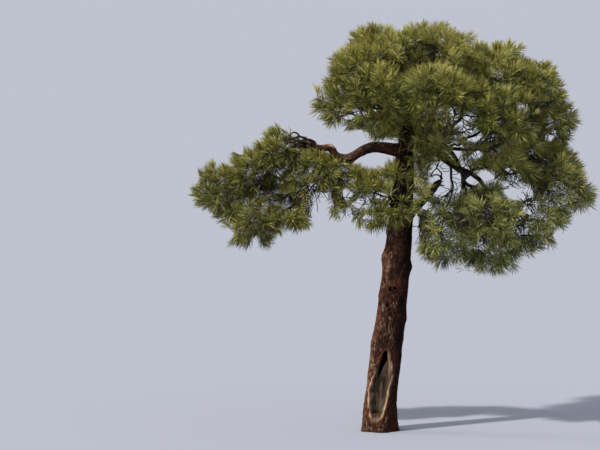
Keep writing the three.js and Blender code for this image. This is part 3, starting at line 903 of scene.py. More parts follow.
bare_at = []
for point in tries[::-1]:
    depth, _ = depth_inside(point)
    chosen = depth > 0.01 and (point[2] < HIGH_FROM or rng.random() < HIGH_SHARE)
    if chosen and not in_ovals(point, NOTCHES, 1.3):
        bare_at.append(point)
    if len(bare_at) == BARE_SHOOTS:
        break
loose = np.array(in_metres(LOOSE_SPRAYS + HAZE_SPRAYS, 100))
loose_out = unit(loose * (0.4, 1.0, 0.0) + (0.0, -0.3, 0.25))
spray_at = np.vstack([spray_at, loose])
spray_out = np.vstack([spray_out, loose_out])
spray_depth = np.concatenate([spray_depth, np.full(len(loose), SPRAY_DEPTH)])
haze = len(spray_at) - len(HAZE_SPRAYS) + np.arange(len(HAZE_SPRAYS))
print(f"{len(loose)} loose sprays, {len(bare_at)} bare shoots")

# %% [markdown]
# ## Branches that reach every spray
#
# The branching rule joins one target at a time to the wood that is already there. It picks the place
# on the wood with the least sum of two costs: the new length, and a share of the way from there down
# to the root. The first cost alone gives wandering twigs and the second alone a broom, and together
# they give limbs that fork like a tree's. Main branches to the middle of each mass come first.

# %% Growing the branches
BALANCE = 0.42  # the share of the way down to the root that counts as a cost
ARM_COST = 3.0  # keeps twigs from crossing between the arm and the rest of the crown
SEGMENT = 0.055
LEAVE_ALONG, LEAVE_LUCK, WANDER = 0.45, 0.12, 0.010  # how a twig leaves its parent and how it wavers
CURVE_PULL = 0.9  # how strongly a twig keeps to its first and to its last direction
TO_OUTSIDE, TO_TARGET, TO_SKY, SHOOT_LUCK = 0.75, 0.75, 0.30, 0.22  # what a shoot's direction is made of
OUTSIDE_FADES = 0.15  # depth over which the pull to the outside fades
BARE_LUCK = 0.5  # how far luck turns a bare shoot
TIP_RADIUS = 0.0032
THICKENING = 0.40  # how fast a branch thickens with the number of sprays that it carries


class Wood:
    """Points of the growing skeleton, each with its parent, direction and distance to the root."""

    def __init__(self, room):
        self.at = np.zeros((room, 3))
        self.heading = np.zeros((room, 3))
        self.way = np.zeros(room)
        self.parent = np.full(room, -1)
        self.count = 0

    def add(self, at, heading, parent, way):
        """Adds a point and returns its number."""
        index = self.count
        self.at[index], self.heading[index] = at, heading
        self.parent[index], self.way[index] = parent, way
        self.count += 1
        return index

    def best_start(self, target):
        """The point from which the target is reached at the least cost."""
        gaps = np.linalg.norm(self.at[: self.count] - target, axis=1)
        strange = on_arm(self.at[: self.count]) != on_arm(target)
        return int(np.argmin(gaps + BALANCE * self.way[: self.count] + ARM_COST * strange))


wood = Wood(room=60000)


def on_arm(point):
    """Whether a point belongs to the arm on the left, which hangs from the long bough alone."""
    return (point[..., 0] < -0.35) & ((point[..., 2] < 3.62) | (point[..., 0] < -0.85))


def lay_limb(line, first, last):
    """Adds the part of a limb that twigs may start from."""
    tangents = unit(np.gradient(line, axis=0))
    way, parent = 0.0, -1
    for index in range(first, last):
        if index > first:
            way += float(np.linalg.norm(line[index] - line[index - 1]))
        parent = wood.add(line[index], tangents[index], parent, way)


TRUNK_POINTS, TRUNK_TWIGS_FROM = 90, 56
TWIGS_FROM = {"long_bough": 0.40, "dead_stub": 2.0}  # share along, from which a bough carries twigs

trunk_path = smooth_line(TRUNK_STATIONS, TRUNK_POINTS)
trunk_path = np.column_stack([trunk_path[:, 0], np.zeros(TRUNK_POINTS), trunk_path[:, 2]])
lay_limb(trunk_path, TRUNK_TWIGS_FROM, TRUNK_POINTS)
for name, rows in bough_lines.items():
    coarse = rows[::3, :3]
    lay_limb(coarse, round(len(coarse) * min(1.0, TWIGS_FROM.get(name, 0.3))), len(coarse))
limb_points = wood.count
print(f"{limb_points} points on trunk and boughs to start from")

# %% Curved paths from the wood to each target


def curved_path(start, start_way, end, end_way, steps):
    """Points on a curve that leaves start along start_way and reaches end along end_way."""
    t = np.linspace(0, 1, steps + 1)[1:, None]
    reach = np.linalg.norm(end - start)
    a, b = start_way * reach * CURVE_PULL, end_way * reach * CURVE_PULL
    return (
        (2 * t**3 - 3 * t**2 + 1) * start
        + (t**3 - 2 * t**2 + t) * a
        + (3 * t**2 - 2 * t**3) * end
        + (t**3 - t**2) * b
    )


def grow_to(target, final_way):
    """Grows one branch to target and returns the points it runs through, from the wood outwards."""
    start = wood.best_start(target)
    straight = target - wood.at[start]
    reach = float(np.linalg.norm(straight))
    steps = max(2, math.ceil(reach / SEGMENT))
    leave = unit(unit(straight) + LEAVE_ALONG * wood.heading[start] + LEAVE_LUCK * rng.normal(size=3))
    path = curved_path(wood.at[start], leave, target, final_way, steps)
    wander = rng.normal(size=(steps, 3)) * WANDER
    wander[-1] = 0
    path = path + wander
    chain, before = [start], wood.at[start]
    for point in path:
        way = wood.way[chain[-1]] + float(np.linalg.norm(point - before))
        chain.append(wood.add(point, unit(point - before), chain[-1], way))
        before = point
    return chain


def nearest_first(targets):
    """The order of the targets by their distance to the wood that is there now."""
    gaps = [np.min(np.linalg.norm(wood.at[: wood.count] - target, axis=1)) for target in targets]
    return np.argsort(gaps)


centres = boxes.mean(axis=1)
chains = []
for index in nearest_first(centres):
    target = centres[index]
    start = wood.best_start(target)
    chains.append(grow_to(target, unit(target - wood.at[start])))

UPWARD = np.array([0.0, 0.0, 1.0])
spray_tip = np.zeros(len(spray_at), int)
spray_way = np.zeros((len(spray_at), 3))
for index in nearest_first(spray_at):
    target = spray_at[index]
    start = wood.at[wood.best_start(target)]
    outward = spray_out[index] * math.exp(-max(0.0, spray_depth[index] - SPRAY_DEPTH) / OUTSIDE_FADES)
    way = TO_OUTSIDE * outward + TO_TARGET * unit(target - start) + TO_SKY * UPWARD
    way = unit(way + SHOOT_LUCK * rng.normal(size=3))
    chains.append(grow_to(target, way))
    spray_tip[index] = chains[-1][-1]
    spray_way[index] = way
for target in bare_at:
    start = wood.at[wood.best_start(target)]
    chains.append(grow_to(target, unit(unit(target - start) + BARE_LUCK * rng.normal(size=3))))
print(f"{len(chains)} branches, {wood.count - limb_points} points")

# %% [markdown]
# A branch is as thick as the sprays it feeds need. The count of sprays is passed down from each tip,
# and the radius is a power of it, a rule first drawn by a painter and later measured by foresters.

# %% Thickness of the branches
load = np.zeros(wood.count)
for tip in spray_tip:
    load[tip] += 1
for index in range(wood.count - 1, limb_points - 1, -1):
    load[wood.parent[index]] += load[index]
thickness = TIP_RADIUS * np.maximum(load, 0.5) ** THICKENING
print(f"thickest grown branch {thickness[limb_points:].max() * 1000:.0f} mm in radius")

# %% [markdown]
# ## Tubes for twigs and branches
#
# There are over a thousand twigs, too many for one object each. The rings of all tubes of one kind are
# worked out as arrays and handed to a single mesh, which is quick to build and to render.

# %% Tubes from arrays


def tube_arrays(points, radii, sides, first_vertex):
    """Vertices and faces of one tapering tube, closed at its outer end by a point."""
    tangents = unit(np.gradient(points, axis=0))
    upright = abs(tangents[:, 2].mean()) >= 0.8
    sideways = unit(np.cross(tangents, (1.0, 0.1, 0.0) if upright else (0.36, 0.48, 0.8)))
    upwards = np.cross(sideways, tangents)
    angle = np.arange(sides) * 2 * math.pi / sides
    ring = sideways[:, None] * np.cos(angle)[None, :, None] - upwards[:, None] * np.sin(angle)[None, :, None]
    vertices = (points[:, None] + ring * radii[:, None, None]).reshape(-1, 3)
    tip = points[-1] + tangents[-1] * radii[-1]
    rows = np.arange(len(points) - 1)[:, None] * sides
    k = np.arange(sides)[None]
    nxt = (k + 1) % sides
    quads = np.stack([rows + k, rows + nxt, rows + sides + nxt, rows + sides + k], axis=2).reshape(-1, 4)
    last = (len(points) - 1) * sides
    fan = np.column_stack([last + k[0], last + nxt[0], np.full(sides, len(vertices))])
    return np.vstack([vertices, tip]), quads + first_vertex, fan + first_vertex


def mesh_from_arrays(name, vertices, quads, triangles, smooth):
    """One object from arrays of vertices, four-sided faces and three-sided faces."""
    mesh = bpy.data.meshes.new(name)
    mesh.vertices.add(len(vertices))
    mesh.vertices.foreach_set("co", np.asarray(vertices, np.float32).ravel())
    corners = np.concatenate([quads.ravel(), triangles.ravel()])
    starts = np.concatenate([np.arange(len(quads)) * 4, len(quads) * 4 + np.arange(len(triangles)) * 3])
    mesh.loops.add(len(corners))
    mesh.loops.foreach_set("vertex_index", corners.astype(np.int32))
    mesh.polygons.add(len(starts))
    mesh.polygons.foreach_set("loop_start", starts.astype(np.int32))
    mesh.polygons.foreach_set("use_smooth", np.full(len(starts), smooth))
    mesh.update(calc_edges=True)
    print(f"{name}: {2 * len(quads) + len(triangles)} triangles")
    return show(name, mesh)


def tubes(name, paths, sides):
    """Joins many tubes, each a pair of points and radii, into one object."""
    arrays, first = [], 0
    for points, radii in paths:
        arrays.append(tube_arrays(points, radii, sides, first))
        first += len(arrays[-1][0])
    return mesh_from_arrays(name, *(np.vstack(parts) for parts in zip(*arrays)), True)

# %% Branches and twigs as two pieces
THICK_FROM = 0.0095  # radius from which a branch counts as thick and gets rounder tubes
THICK_SIDES, THIN_SIDES, DEAD_SIDES = 10, 5, 4


def path_of(chain):
    """Points and radii of one branch, whose foot takes the radius of its own first point."""
    radii = thickness[chain].copy()
    radii[0] = min(radii[0], radii[1] * 1.25)
    return wood.at[chain], radii


branch_paths = [path_of(chain) for chain in chains]
thick_paths = [path for path in branch_paths if path[1][1] > THICK_FROM]
thin_paths = [path for path in branch_paths if path[1][1] <= THICK_FROM]
crown_branches = tubes("crown_branches", thick_paths, THICK_SIDES)
crown_twigs = tubes("crown_twigs", thin_paths, THIN_SIDES)

# %% [markdown]
# ## Bare dead twigs
#
# Under the crown and along the inner branches, small twigs have died and lost their needles. They are
# what reads as dark lace against the sky in the gaps. Most are dealt out along the inner branches, and
# those that stand out, such as the loop on the long bough and the crook on the dead stub, are placed.
# A placed twig is led back to the nearest wood, so that none floats when the tree is seen from a side,
# and a few of them end in a tuft of needles.

# %% Bare twigs
BARE_TWIG_COUNT = 700
LACE_COUNT, LOW_COUNT = 320, 200  # twigs that start beside the windows, and in the low right side
INNER_TWIG = (0.08, 0.22), (0.0042, 0.0016)  # shortest and longest, radius at the foot and at the tip
LOW_TWIG = (0.08, 0.24), (0.0055, 0.0022)
LACE_TWIG = (0.06, 0.20), (0.0055, 0.0022)
AT_WOOD = 0.07  # a placed twig that starts nearer than this to wood needs no lead to it
TWIG_REACH = 0.04  # how far a dead twig may stand out of the masses
TOP_FROM = 3.9  # above this height a dead twig may not end in a notch either
PLACED_TWIGS = [  # radius at the foot and points in millimetres, and "tuft" where it ends in a spray
    (15, [(-927, 0, 3550), (-976, -40, 3559), (-1000, -50, 3578), (-994, -60, 3622), (-1019, -60, 3652),
          (-1055, -60, 3659), (-1086, -60, 3640), (-1098, -50, 3584)]),
    (16, [(-891, 0, 3575), (-976, -40, 3608), (-1049, -60, 3591), (-1122, -80, 3580), (-1177, -80, 3605)]),
    (16, [(-915, -40, 3541), (-1000, -100, 3551), (-1074, -120, 3577), (-1147, -140, 3554),
          (-1190, -140, 3511)]),
    (16, [(-927, -60, 3493), (-1013, -140, 3517), (-1086, -160, 3549), (-1135, -160, 3525),
          (-1171, -160, 3464)]),
    (14, [(-952, -40, 3529), (-1025, -160, 3488), (-1098, -200, 3491), (-1147, -200, 3442)]),
    (12, [(732, -130, 3059), (744, -130, 3120), (738, -130, 3169), (708, -130, 3206), (683, -130, 3230),
          (714, -120, 3290), (744, -120, 3339)]),
    (11, [(742, -130, 3108), (708, -140, 3142), (659, -140, 3145), (616, -150, 3128), (561, -150, 3150)]),
    (10, [(616, -150, 3134), (634, -140, 3176), (683, -130, 3230), (708, -130, 3267)]),
    (14, [(695, -130, 3035), (738, -130, 3020), (775, -130, 3010)]),
    (13, [(695, -150, 3048), (732, -150, 3079), (756, -150, 3103)]),
    (12, [(683, -110, 3021), (726, -110, 3052), (763, -110, 3064)]),
    (5, [(866, -110, 3119), (939, -120, 3095), (988, -110, 3076)]),
    (8, [(964, 0, 3477), (994, 0, 3447), (1025, 0, 3404), (1074, 0, 3355), (1098, 0, 3306),
          (1135, 0, 3257)]),
    (9, [(805, -50, 3816), (878, -80, 3830), (939, -80, 3836), (988, -80, 3830), (1061, -80, 3788),
          (1098, -80, 3763), (1135, -80, 3733)]),
    (8, [(1013, -100, 3923), (1007, -100, 3838), (1013, -100, 3777), (1000, -100, 3691),
          (1007, -100, 3582)]),
    (6, [(1013, -100, 3765), (1074, -100, 3734), (1122, -100, 3722), (1129, -100, 3679)]),
    (5, [(1013, -100, 3740), (1086, -100, 3649), (1147, -100, 3624), (1232, -100, 3624)]),
    (7, [(1098, -50, 3944), (1122, -50, 3883), (1147, -50, 3822)]),
    (6, [(909, -50, 3944), (921, -80, 3885), (927, -80, 3836)]),
    (12, [(1293, -250, 3897), (1312, -250, 3824), (1305, -250, 3763)]),
    (12, [(1220, -200, 3515), (1269, -300, 3583), (1305, -300, 3626), (1366, -300, 3663),
          (1440, -300, 3669), (1513, -300, 3620)]),
    (10, [(1257, -100, 3460), (1342, -250, 3476), (1427, -300, 3498), (1513, -300, 3486)]),
    (9, [(1269, -300, 3583), (1342, -250, 3604), (1427, -250, 3604), (1501, -250, 3604)]),
    (8, [(1354, -250, 3604), (1391, -250, 3556), (1415, -280, 3497)]),
    (9, [(1488, -300, 3559), (1562, -350, 3526), (1610, -400, 3493), (1647, -400, 3432)]),
    (6, [(1366, -100, 3411), (1427, -100, 3325), (1464, -80, 3275), (1488, -60, 3237)]),
    (6, [(1488, -60, 3249), (1427, -60, 3201), (1403, -80, 3153), (1397, -90, 3105), (1354, -90, 3075),
          (1281, -90, 3062)]),
    (7, [(1488, -60, 3249), (1495, -60, 3188), (1501, -70, 3128), (1537, -70, 3079), (1610, -70, 3055)]),
    (6, [(1501, -60, 3225), (1537, -60, 3152), (1562, -60, 3091)]),
    (5, [(1501, -70, 3128), (1562, -70, 3055), (1623, -70, 2988)]),
    (6, [(1501, -60, 3262), (1598, -60, 3213), (1671, -60, 3176), (1732, -60, 3140), (1806, -60, 3115)]),
    (5, [(1635, -70, 3055), (1708, -70, 2994), (1769, -70, 2976)]),
    (6, [(1830, -50, 3090), (1842, -30, 3003), (1854, -30, 2955), (1891, -30, 2918), (1952, -30, 2906)]),
    (16, [(1964, 0, 3123), (1952, -30, 3003), (1958, -30, 2857), (1964, -50, 2761), (1989, -50, 2675)]),
    (6, [(1964, -40, 2833), (2013, -100, 2764), (2062, -150, 2719)]),
    (6, [(1732, -100, 2813), (1806, -100, 2776), (1854, -100, 2740), (1915, -100, 2679)]),
    (10, [(1196, -280, 2899), (1269, -340, 2873), (1305, -360, 2831), (1324, -380, 2759)]),
    (10, [(1074, -200, 2869), (1135, -300, 2888), (1196, -320, 2883), (1232, -340, 2854)]),
    (11, [(305, -100, 4741), (311, -120, 4644), (342, -140, 4548), (403, -140, 4475)]),
    (10, [(378, -50, 4761), (488, -50, 4743), (610, -50, 4700), (732, -50, 4652)]),
    (10, [(598, 0, 4734), (683, 0, 4660), (720, 0, 4587), (732, 0, 4502)]),
    (10, [(329, -140, 4573), (415, -160, 4513), (500, -160, 4464), (598, -140, 4451)]),
    (6, [(683, 0, 4660), (622, -50, 4615), (573, -100, 4558)]),
    (9, [(-1061, -50, 3115), (-988, -50, 3029), (-915, -60, 2944), (-915, -70, 2860), (-946, -80, 2738),
          (-939, -80, 2641), (-915, -80, 2568)], "tuft"),
    (6, [(-842, -50, 3005), (-793, -50, 2907), (-769, -50, 2797), (-756, -50, 2688)]),
    (6, [(-781, -50, 2993), (-695, -50, 2919), (-659, -50, 2870), (-622, -50, 2834)]),
    (8, [(-622, -100, 3008), (-586, -120, 2900), (-561, -120, 2790), (-543, -120, 2705)], "tuft"),
    (6, [(-573, -120, 2839), (-537, -120, 2796), (-476, -120, 2778)], "tuft"),
    (14, [(-573, 0, 3123), (-567, -20, 2990), (-580, -50, 2858)]),
    (9, [(146, -120, 2814), (73, -130, 2766), (-24, -130, 2718), (-122, -130, 2687),
          (-195, -130, 2687)], "tuft"),
    (7, [(98, -130, 2785), (-12, -130, 2797), (-73, -130, 2815), (-122, -130, 2852)]),
    (6, [(85, -150, 2585), (24, -180, 2562), (-24, -200, 2539)], "tuft"),
    (9, [(-537, -300, 3840), (-390, -300, 3888), (-244, -300, 3937), (-98, -300, 3974), (24, -300, 4023)]),
    (7, [(-439, -450, 4204), (-342, -450, 4131), (-220, -450, 4106), (-98, -450, 4033)]),
    (7, [(-366, -450, 3984), (-293, -450, 4082), (-171, -450, 4180)]),
    (12, [(1049, -460, 2701), (1098, -580, 2584), (1196, -700, 2495), (1244, -800, 2354)]),
    (12, [(1196, -400, 2880), (1269, -620, 2800), (1269, -760, 2673), (1220, -760, 2547)]),
    (12, [(1464, -500, 2741), (1586, -520, 2656), (1659, -500, 2527), (1708, -440, 2375)]),
    (12, [(1635, -400, 2725), (1708, -420, 2619), (1732, -400, 2447)]),
    (12, [(805, -280, 2685), (927, -380, 2591), (1025, -480, 2479), (1074, -540, 2337)]),
    (12, [(1074, -420, 2780), (1000, -440, 2671), (878, -330, 2538)]),
]


def side_twig(index, lengths, radii):
    """A short dead twig that leaves the wood sideways at one of its points."""
    way = unit(np.cross(wood.heading[index], rng.normal(size=3)) + 0.5 * wood.heading[index])
    length = rng.uniform(*lengths)
    steps = np.linspace(0, 1, 5)[:, None]
    bend = rng.normal(size=3) * 0.25 * length
    points = wood.at[index] + way * length * steps + bend * steps**2 + rng.normal(size=(5, 3)) * 0.004
    points[0] = wood.at[index]
    return points, np.linspace(*radii, 5)


def rooted(rows, known):
    """Points of a placed twig, led back to the nearest wood unless it starts there."""
    gaps = np.linalg.norm(known - rows[0], axis=1)
    return rows if gaps.min() < AT_WOOD else [tuple(known[np.argmin(gaps)]), *rows]


def sticks_out(end):
    """Whether a dead twig that ends here would stand out past the crown's outline."""
    return depth_inside(end)[0] < -TWIG_REACH or (end[2] > TOP_FROM and in_ovals(end, NOTCHES, 1.2))


def bare_twigs():
    """The piece of dead twigs, and the end and direction of those that carry a tuft."""
    paths, ends = [], []
    known = np.vstack([wood.at[: wood.count], *(line[:, :3] for line in bough_lines.values())])
    for radius, rows, *tuft in PLACED_TWIGS:
        rows = rooted(in_metres(rows), known)
        points = smooth_line(rows, 4 * len(rows)) + rng.normal(size=(4 * len(rows), 3)) * 0.003
        known = np.vstack([known, points])
        paths.append((points, np.linspace(1.1 * radius / 1000, 0.55 * radius / 1000, len(points))))
        if tuft:
            ends.append((points[-1], unit(points[-1] - points[-5])))
    grown = np.arange(limb_points, wood.count)
    low = grown[(wood.at[grown, 0] > 0.4) & (wood.at[grown, 2] < 3.0) & (wood.at[grown, 1] < 0.1)]
    inner = grown[load[grown] > 1]
    for starts, count, kind in ((inner, BARE_TWIG_COUNT, INNER_TWIG), (low, LOW_COUNT, LOW_TWIG)):
        dealt = [side_twig(index, *kind) for index in rng.choice(starts, count)]
        paths += [path for path in dealt if not sticks_out(path[0][-1])]
    for gaps_in_crown, count in ((SKY_WINDOWS, LACE_COUNT), (HOLLOWS, LACE_COUNT // 10)):
        in_gaps = grown[in_ovals(wood.at[grown], gaps_in_crown, 1.25)]
        paths += [side_twig(index, *LACE_TWIG) for index in rng.choice(in_gaps, count)]
    return tubes("bare_twigs", paths, DEAD_SIDES), ends


dead_twigs, tuft_ends = bare_twigs()
spray_at = np.vstack([spray_at, [end for end, _ in tuft_ends]])
spray_way = np.vstack([spray_way, [way for _, way in tuft_ends]])
spray_out = np.vstack([spray_out, [way for _, way in tuft_ends]])
spray_depth = np.concatenate([spray_depth, np.full(len(tuft_ends), SPRAY_DEPTH)])

# %% [markdown]
# ## Needles
#
# A needle is a thin blade of two three-sided faces, pointed at both ends, that bends once in the
# middle. Pine needles grow in bundles. Those of one bundle part only a little, so from afar it reads as
# one stroke. The bundles of a spray leave the last hand's breadth of its shoot, wide open at the back
# and closing towards the tip, as on a bottle brush. Needles are wider than real ones, so that a few
# hundred can stand for a full spray.

# %% Needles of every spray
BUNDLES_PER_SPRAY = 82
NEEDLES_PER_BUNDLE = 4
BUNDLE_SPREAD = 0.022  # how far the needles of a bundle part, as a share of their length
NEEDLE_LENGTH = (0.115, 0.165)
SPRAY_VIGOUR, NEEDLE_VIGOUR = (0.85, 1.1), (0.8, 1.05)  # shares of it, by luck
NEEDLE_WIDTH = 0.0043 * 1.0
SHOOT_LENGTH = 0.10
OPEN_AT_BACK, CLOSES_BY, OPEN_LUCK = 92, 68, 14  # degrees between a bundle and its shoot
NEEDLE_RISE = 0.12  # how far the bundles turn up towards the light
NEEDLE_DROOP, NEEDLE_SWEEP, BENDS_AT = 0.07, 0.10, 0.55  # shares of the needle's length
BOX_REACH = (0.14, 0.07, 0.14)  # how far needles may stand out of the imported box, to each side


def bundle_feet(tips, ways, owner):
    """Foot, heading and length of every bundle, and its place along the shoot from 0 to 1."""
    total = len(owner)
    way = ways[owner]
    vigour = rng.uniform(*SPRAY_VIGOUR, len(tips))[owner]
    along = rng.random(total) ** 0.75
    start = tips[owner] - way * (SHOOT_LENGTH * (1 - along))[:, None]
    side = unit(np.cross(way, rng.normal(size=(total, 3))))
    open_angle = np.radians(OPEN_AT_BACK - CLOSES_BY * along + OPEN_LUCK * rng.normal(size=total))
    heading = way * np.cos(open_angle)[:, None] + side * np.sin(open_angle)[:, None]
    heading = unit(heading + NEEDLE_RISE * UPWARD)
    return start, heading, rng.uniform(*NEEDLE_LENGTH, total) * vigour, along


def needle_blades(start, heading, length, way):
    """Four corners of every needle: its foot, the two sides of its bend and its point."""

    def each(values):
        return np.repeat(values, NEEDLES_PER_BUNDLE, axis=0)

    count = len(start) * NEEDLES_PER_BUNDLE
    start, way = each(start), each(way)
    heading = unit(each(heading) + BUNDLE_SPREAD * rng.normal(size=(count, 3)))
    length = (each(length) * rng.uniform(*NEEDLE_VIGOUR, count))[:, None]
    half = unit(np.cross(heading, rng.normal(size=(count, 3)))) * NEEDLE_WIDTH / 2
    drop = (way * NEEDLE_SWEEP - UPWARD * NEEDLE_DROOP) * length
    bend = start + heading * length * BENDS_AT
    return np.stack([start, bend - half, bend + half, start + heading * length + drop], axis=1)


def needle_piece(name, corners):
    """One piece from the corners of many needles, two faces to each."""
    first = np.arange(len(corners))[:, None, None] * 4
    faces = (first + np.array([[0, 1, 2], [2, 1, 3]])).reshape(-1, 3)
    return mesh_from_arrays(name, corners.reshape(-1, 3), np.zeros((0, 4), int), faces, False)

# %% [markdown]
# ## Tints dealt out by spray
#
# The top and the outside of the crown take pale yellow-green tints and the inside dark ones: painted
# light and painted shade. A few needles are old and brown. There are two lists of tints from dark to
# pale, a warm one, and a cool one for most of the low right side. A spray's place in its list comes from
# how far out and how steeply it stands and from the places of painted shade and light, with some luck.
# Each bundle then moves up the list where it points up or grows near the tip, as painted light, and by
# more luck, because old and young needles stand side by side.

# %% Needle tints
WARM_TINTS = {  # name: base colour
    "warm_shade": (0.040, 0.043, 0.008),
    "warm_deep": (0.098, 0.104, 0.017),
    "warm_green": (0.184, 0.193, 0.030),
    "warm_olive": (0.280, 0.283, 0.046),
    "warm_sunlit": (0.372, 0.360, 0.064),
    "warm_pale": (0.500, 0.462, 0.138),
}
COOL_TINTS = {
    "cool_shade": (0.030, 0.037, 0.009),
    "cool_deep": (0.074, 0.092, 0.019),
    "cool_green": (0.142, 0.173, 0.033),
    "cool_olive": (0.220, 0.252, 0.052),
    "cool_sunlit": (0.308, 0.333, 0.076),
    "cool_pale": (0.445, 0.445, 0.150),
}
OLD_TINT = {"old_brown": (0.190, 0.120, 0.055)}
TINTS = {**WARM_TINTS, **COOL_TINTS, **OLD_TINT}
STEPS = len(WARM_TINTS)
COOL_SHARE, COOL_LOW_RIGHT, WARM_ON_ARM = 0.12, 0.75, 0.07  # of the sprays
BROWN_SHARE, BROWN_IN_SHADE, BROWN_ON_ARM = 0.035, 3.0, 1.0  # of the bundles, and how many times more
# Steps of painted light near the outside and facing up, and of painted shade for each metre of depth.
LIT_OUTSIDE, LOST_WITH_DEPTH, LIT_FACING_UP = 3.4, 12.0, 0.8  # steps, steps for each metre, steps
# More steps of painted light on the loose sprays and on the right and low right sides, and of painted shade
# on the arm.
LIT_LOOSE, LIT_RIGHT, LIT_LOW_RIGHT, DIM_ON_ARM = 0.5, 0.5, 0.35, 0.45
# Painted light on needles that point up and on those at the tip.
LIT_ABOVE, LIT_AT_TIP = 1.1, 0.9  # how much lighter needles are that point up, and those at the tip
SPRAY_SPREAD, NEEDLE_SPREAD = 0.6, 1.9  # how much luck moves a spray, and a bundle within it, in the list
TUFT_FULLNESS, THIN_LOW_RIGHT = 0.8, 0.25
INSIDE_FROM, INSIDE_FULLNESS = 0.22, 0.5  # depth from which sprays are thin, and how thin

# Each spray's step in the list of tints: painted light near the outside, facing up, on the loose sprays and
# on the right; painted shade with depth, in the places of shade and on the arm.
lit = LIT_OUTSIDE - LOST_WITH_DEPTH * np.clip(spray_depth - SPRAY_DEPTH, 0, 0.25)
lit = lit + LIT_FACING_UP * np.clip(spray_out[:, 2], -0.2, 1)
lit = lit + SPRAY_SPREAD * rng.normal(size=len(spray_at))
lit[-len(loose) - len(tuft_ends) :] += LIT_LOOSE
dim = dimness(spray_at)
lit = lit - dim - DIM_ON_ARM * on_arm(spray_at)
right_side = ease(0.9, 1.3, spray_at[:, 0]) * ease(3.9, 3.6, spray_at[:, 2])
lit = lit + LIT_RIGHT * right_side * ease(0.1, -0.2, spray_at[:, 1])
low_right = ease(3.20, 2.90, spray_at[:, 2]) * ease(-0.2, 0.7, spray_at[:, 0])
lit = lit + LIT_LOW_RIGHT * low_right
cool_share = COOL_SHARE + COOL_LOW_RIGHT * low_right - WARM_ON_ARM * on_arm(spray_at)
cool_spray = rng.random(len(spray_at)) < cool_share
fullness = np.where(spray_depth < INSIDE_FROM, 1.0, INSIDE_FULLNESS) * (1 - THIN_LOW_RIGHT * low_right)
fullness[-len(tuft_ends) :] = TUFT_FULLNESS
fullness[haze] = HAZE_FULLNESS
bundle_counts = (BUNDLES_PER_SPRAY * fullness).astype(int)
owner = np.repeat(np.arange(len(spray_at)), bundle_counts)
start, heading, length, along = bundle_feet(spray_at, spray_way, owner)
# Painted light on bundles that point up or grow near the tip.
painted_bundle_light = LIT_ABOVE * (heading[:, 2] - 0.2) + LIT_AT_TIP * (along - 0.55)
bundle_tint = np.rint(lit[owner] + painted_bundle_light + NEEDLE_SPREAD * rng.normal(size=len(owner)) - 0.4)
bundle_tint = np.clip(bundle_tint, 0, STEPS - 1) + STEPS * cool_spray[owner]
brown = BROWN_SHARE * (1 + BROWN_IN_SHADE * np.clip(dim, 0, 1) + BROWN_ON_ARM * on_arm(spray_at))
bundle_tint[rng.random(len(owner)) < brown[owner]] = len(TINTS) - 1
needle_tint = np.repeat(bundle_tint, NEEDLES_PER_BUNDLE)
blades = needle_blades(start, heading, length, spray_way[owner])
of_tuft = np.repeat(owner >= len(spray_at) - len(tuft_ends), NEEDLES_PER_BUNDLE)
spared = np.repeat(rng.random(len(owner)) < HOLLOW_KEEPS, NEEDLES_PER_BUNDLE)
cut = in_ovals(blades, SKY_WINDOWS + NOTCHES).any(axis=1) | (in_hollow(blades).any(axis=1) & ~spared)
cut = cut & ~of_tuft
box_low, box_high = np.array(cad_box[0]) - BOX_REACH, np.array(cad_box[1]) + BOX_REACH
cut = cut | ((blades < box_low) | (blades > box_high)).any(axis=(1, 2))
blades, needle_tint = blades[~cut], needle_tint[~cut]


def new_material(name, roughness, specular, colour=(0.8, 0.8, 0.8)):
    """A material, its node tree and its shader, with a plain base colour until one is linked to it."""
    material = bpy.data.materials.new(name)
    material.use_nodes = True
    shader = material.node_tree.nodes["Principled BSDF"]
    shader.inputs["Base Color"].default_value = (*colour, 1)
    shader.inputs["Roughness"].default_value = roughness
    shader.inputs["Specular IOR Level"].default_value = specular
    return material, material.node_tree, shader


needle_pieces = []
for tint, (name, colour) in enumerate(TINTS.items()):
    piece = needle_piece("needles_" + name, blades[needle_tint == tint])
    material, _, _ = new_material(piece.name, roughness=0.42, specular=0.4, colour=colour)
    piece.data.materials.append(material)
    needle_pieces.append(piece)
print(f"{len(blades)} needles on {len(spray_at)} sprays")

# %% [markdown]
# ## Bark and wood materials
#
# Bark is nearly black in its cracks, its own dark colour deepened by painted shade, and red-brown on
# its plates, with rusty patches. Plates where the tone is high are tan; the tone is partly the plates'
# own and partly painted light on the trunk's left side and on the boughs' tops, so the tan stands in
# part for painted highlights. The layers that were stored while the skins were wrapped say where each
# of these is, and noise breaks them up. Bare wood in the scar is grey-brown with upright grain, and the
# lip of callus is pale orange. The trunk, the long bough, the boughs in the shade and the dead stub
# differ in colour alone, so one function makes all four materials; the darker bark of the boughs in the
# shade is painted shade.

# %% Bark material


def noisy_colour(tree, noise, stops):
    """A colour that runs through the stops, each a value and a colour, as the noise rises."""
    ramp = tree.nodes.new("ShaderNodeValToRGB")
    while len(ramp.color_ramp.elements) < len(stops):
        ramp.color_ramp.elements.new(0.5)
    for element, (position, colour) in zip(ramp.color_ramp.elements, stops):
        element.position = position
        element.color = (*colour, 1)
    tree.links.new(noise, ramp.inputs["Fac"])
    return ramp.outputs["Color"]


def mix_colour(tree, factor, first, second):
    """The first colour where the factor is 0, and the second where it is 1."""
    mix = tree.nodes.new("ShaderNodeMix")
    mix.data_type = "RGBA"
    tree.links.new(factor, mix.inputs["Factor"])
    tree.links.new(first, mix.inputs["A"])
    tree.links.new(second, mix.inputs["B"])
    return mix.outputs["Result"]


def layer(tree, name):
    """The values of a layer that was stored on the skin."""
    node = tree.nodes.new("ShaderNodeAttribute")
    node.attribute_name = name
    return node.outputs["Fac"]


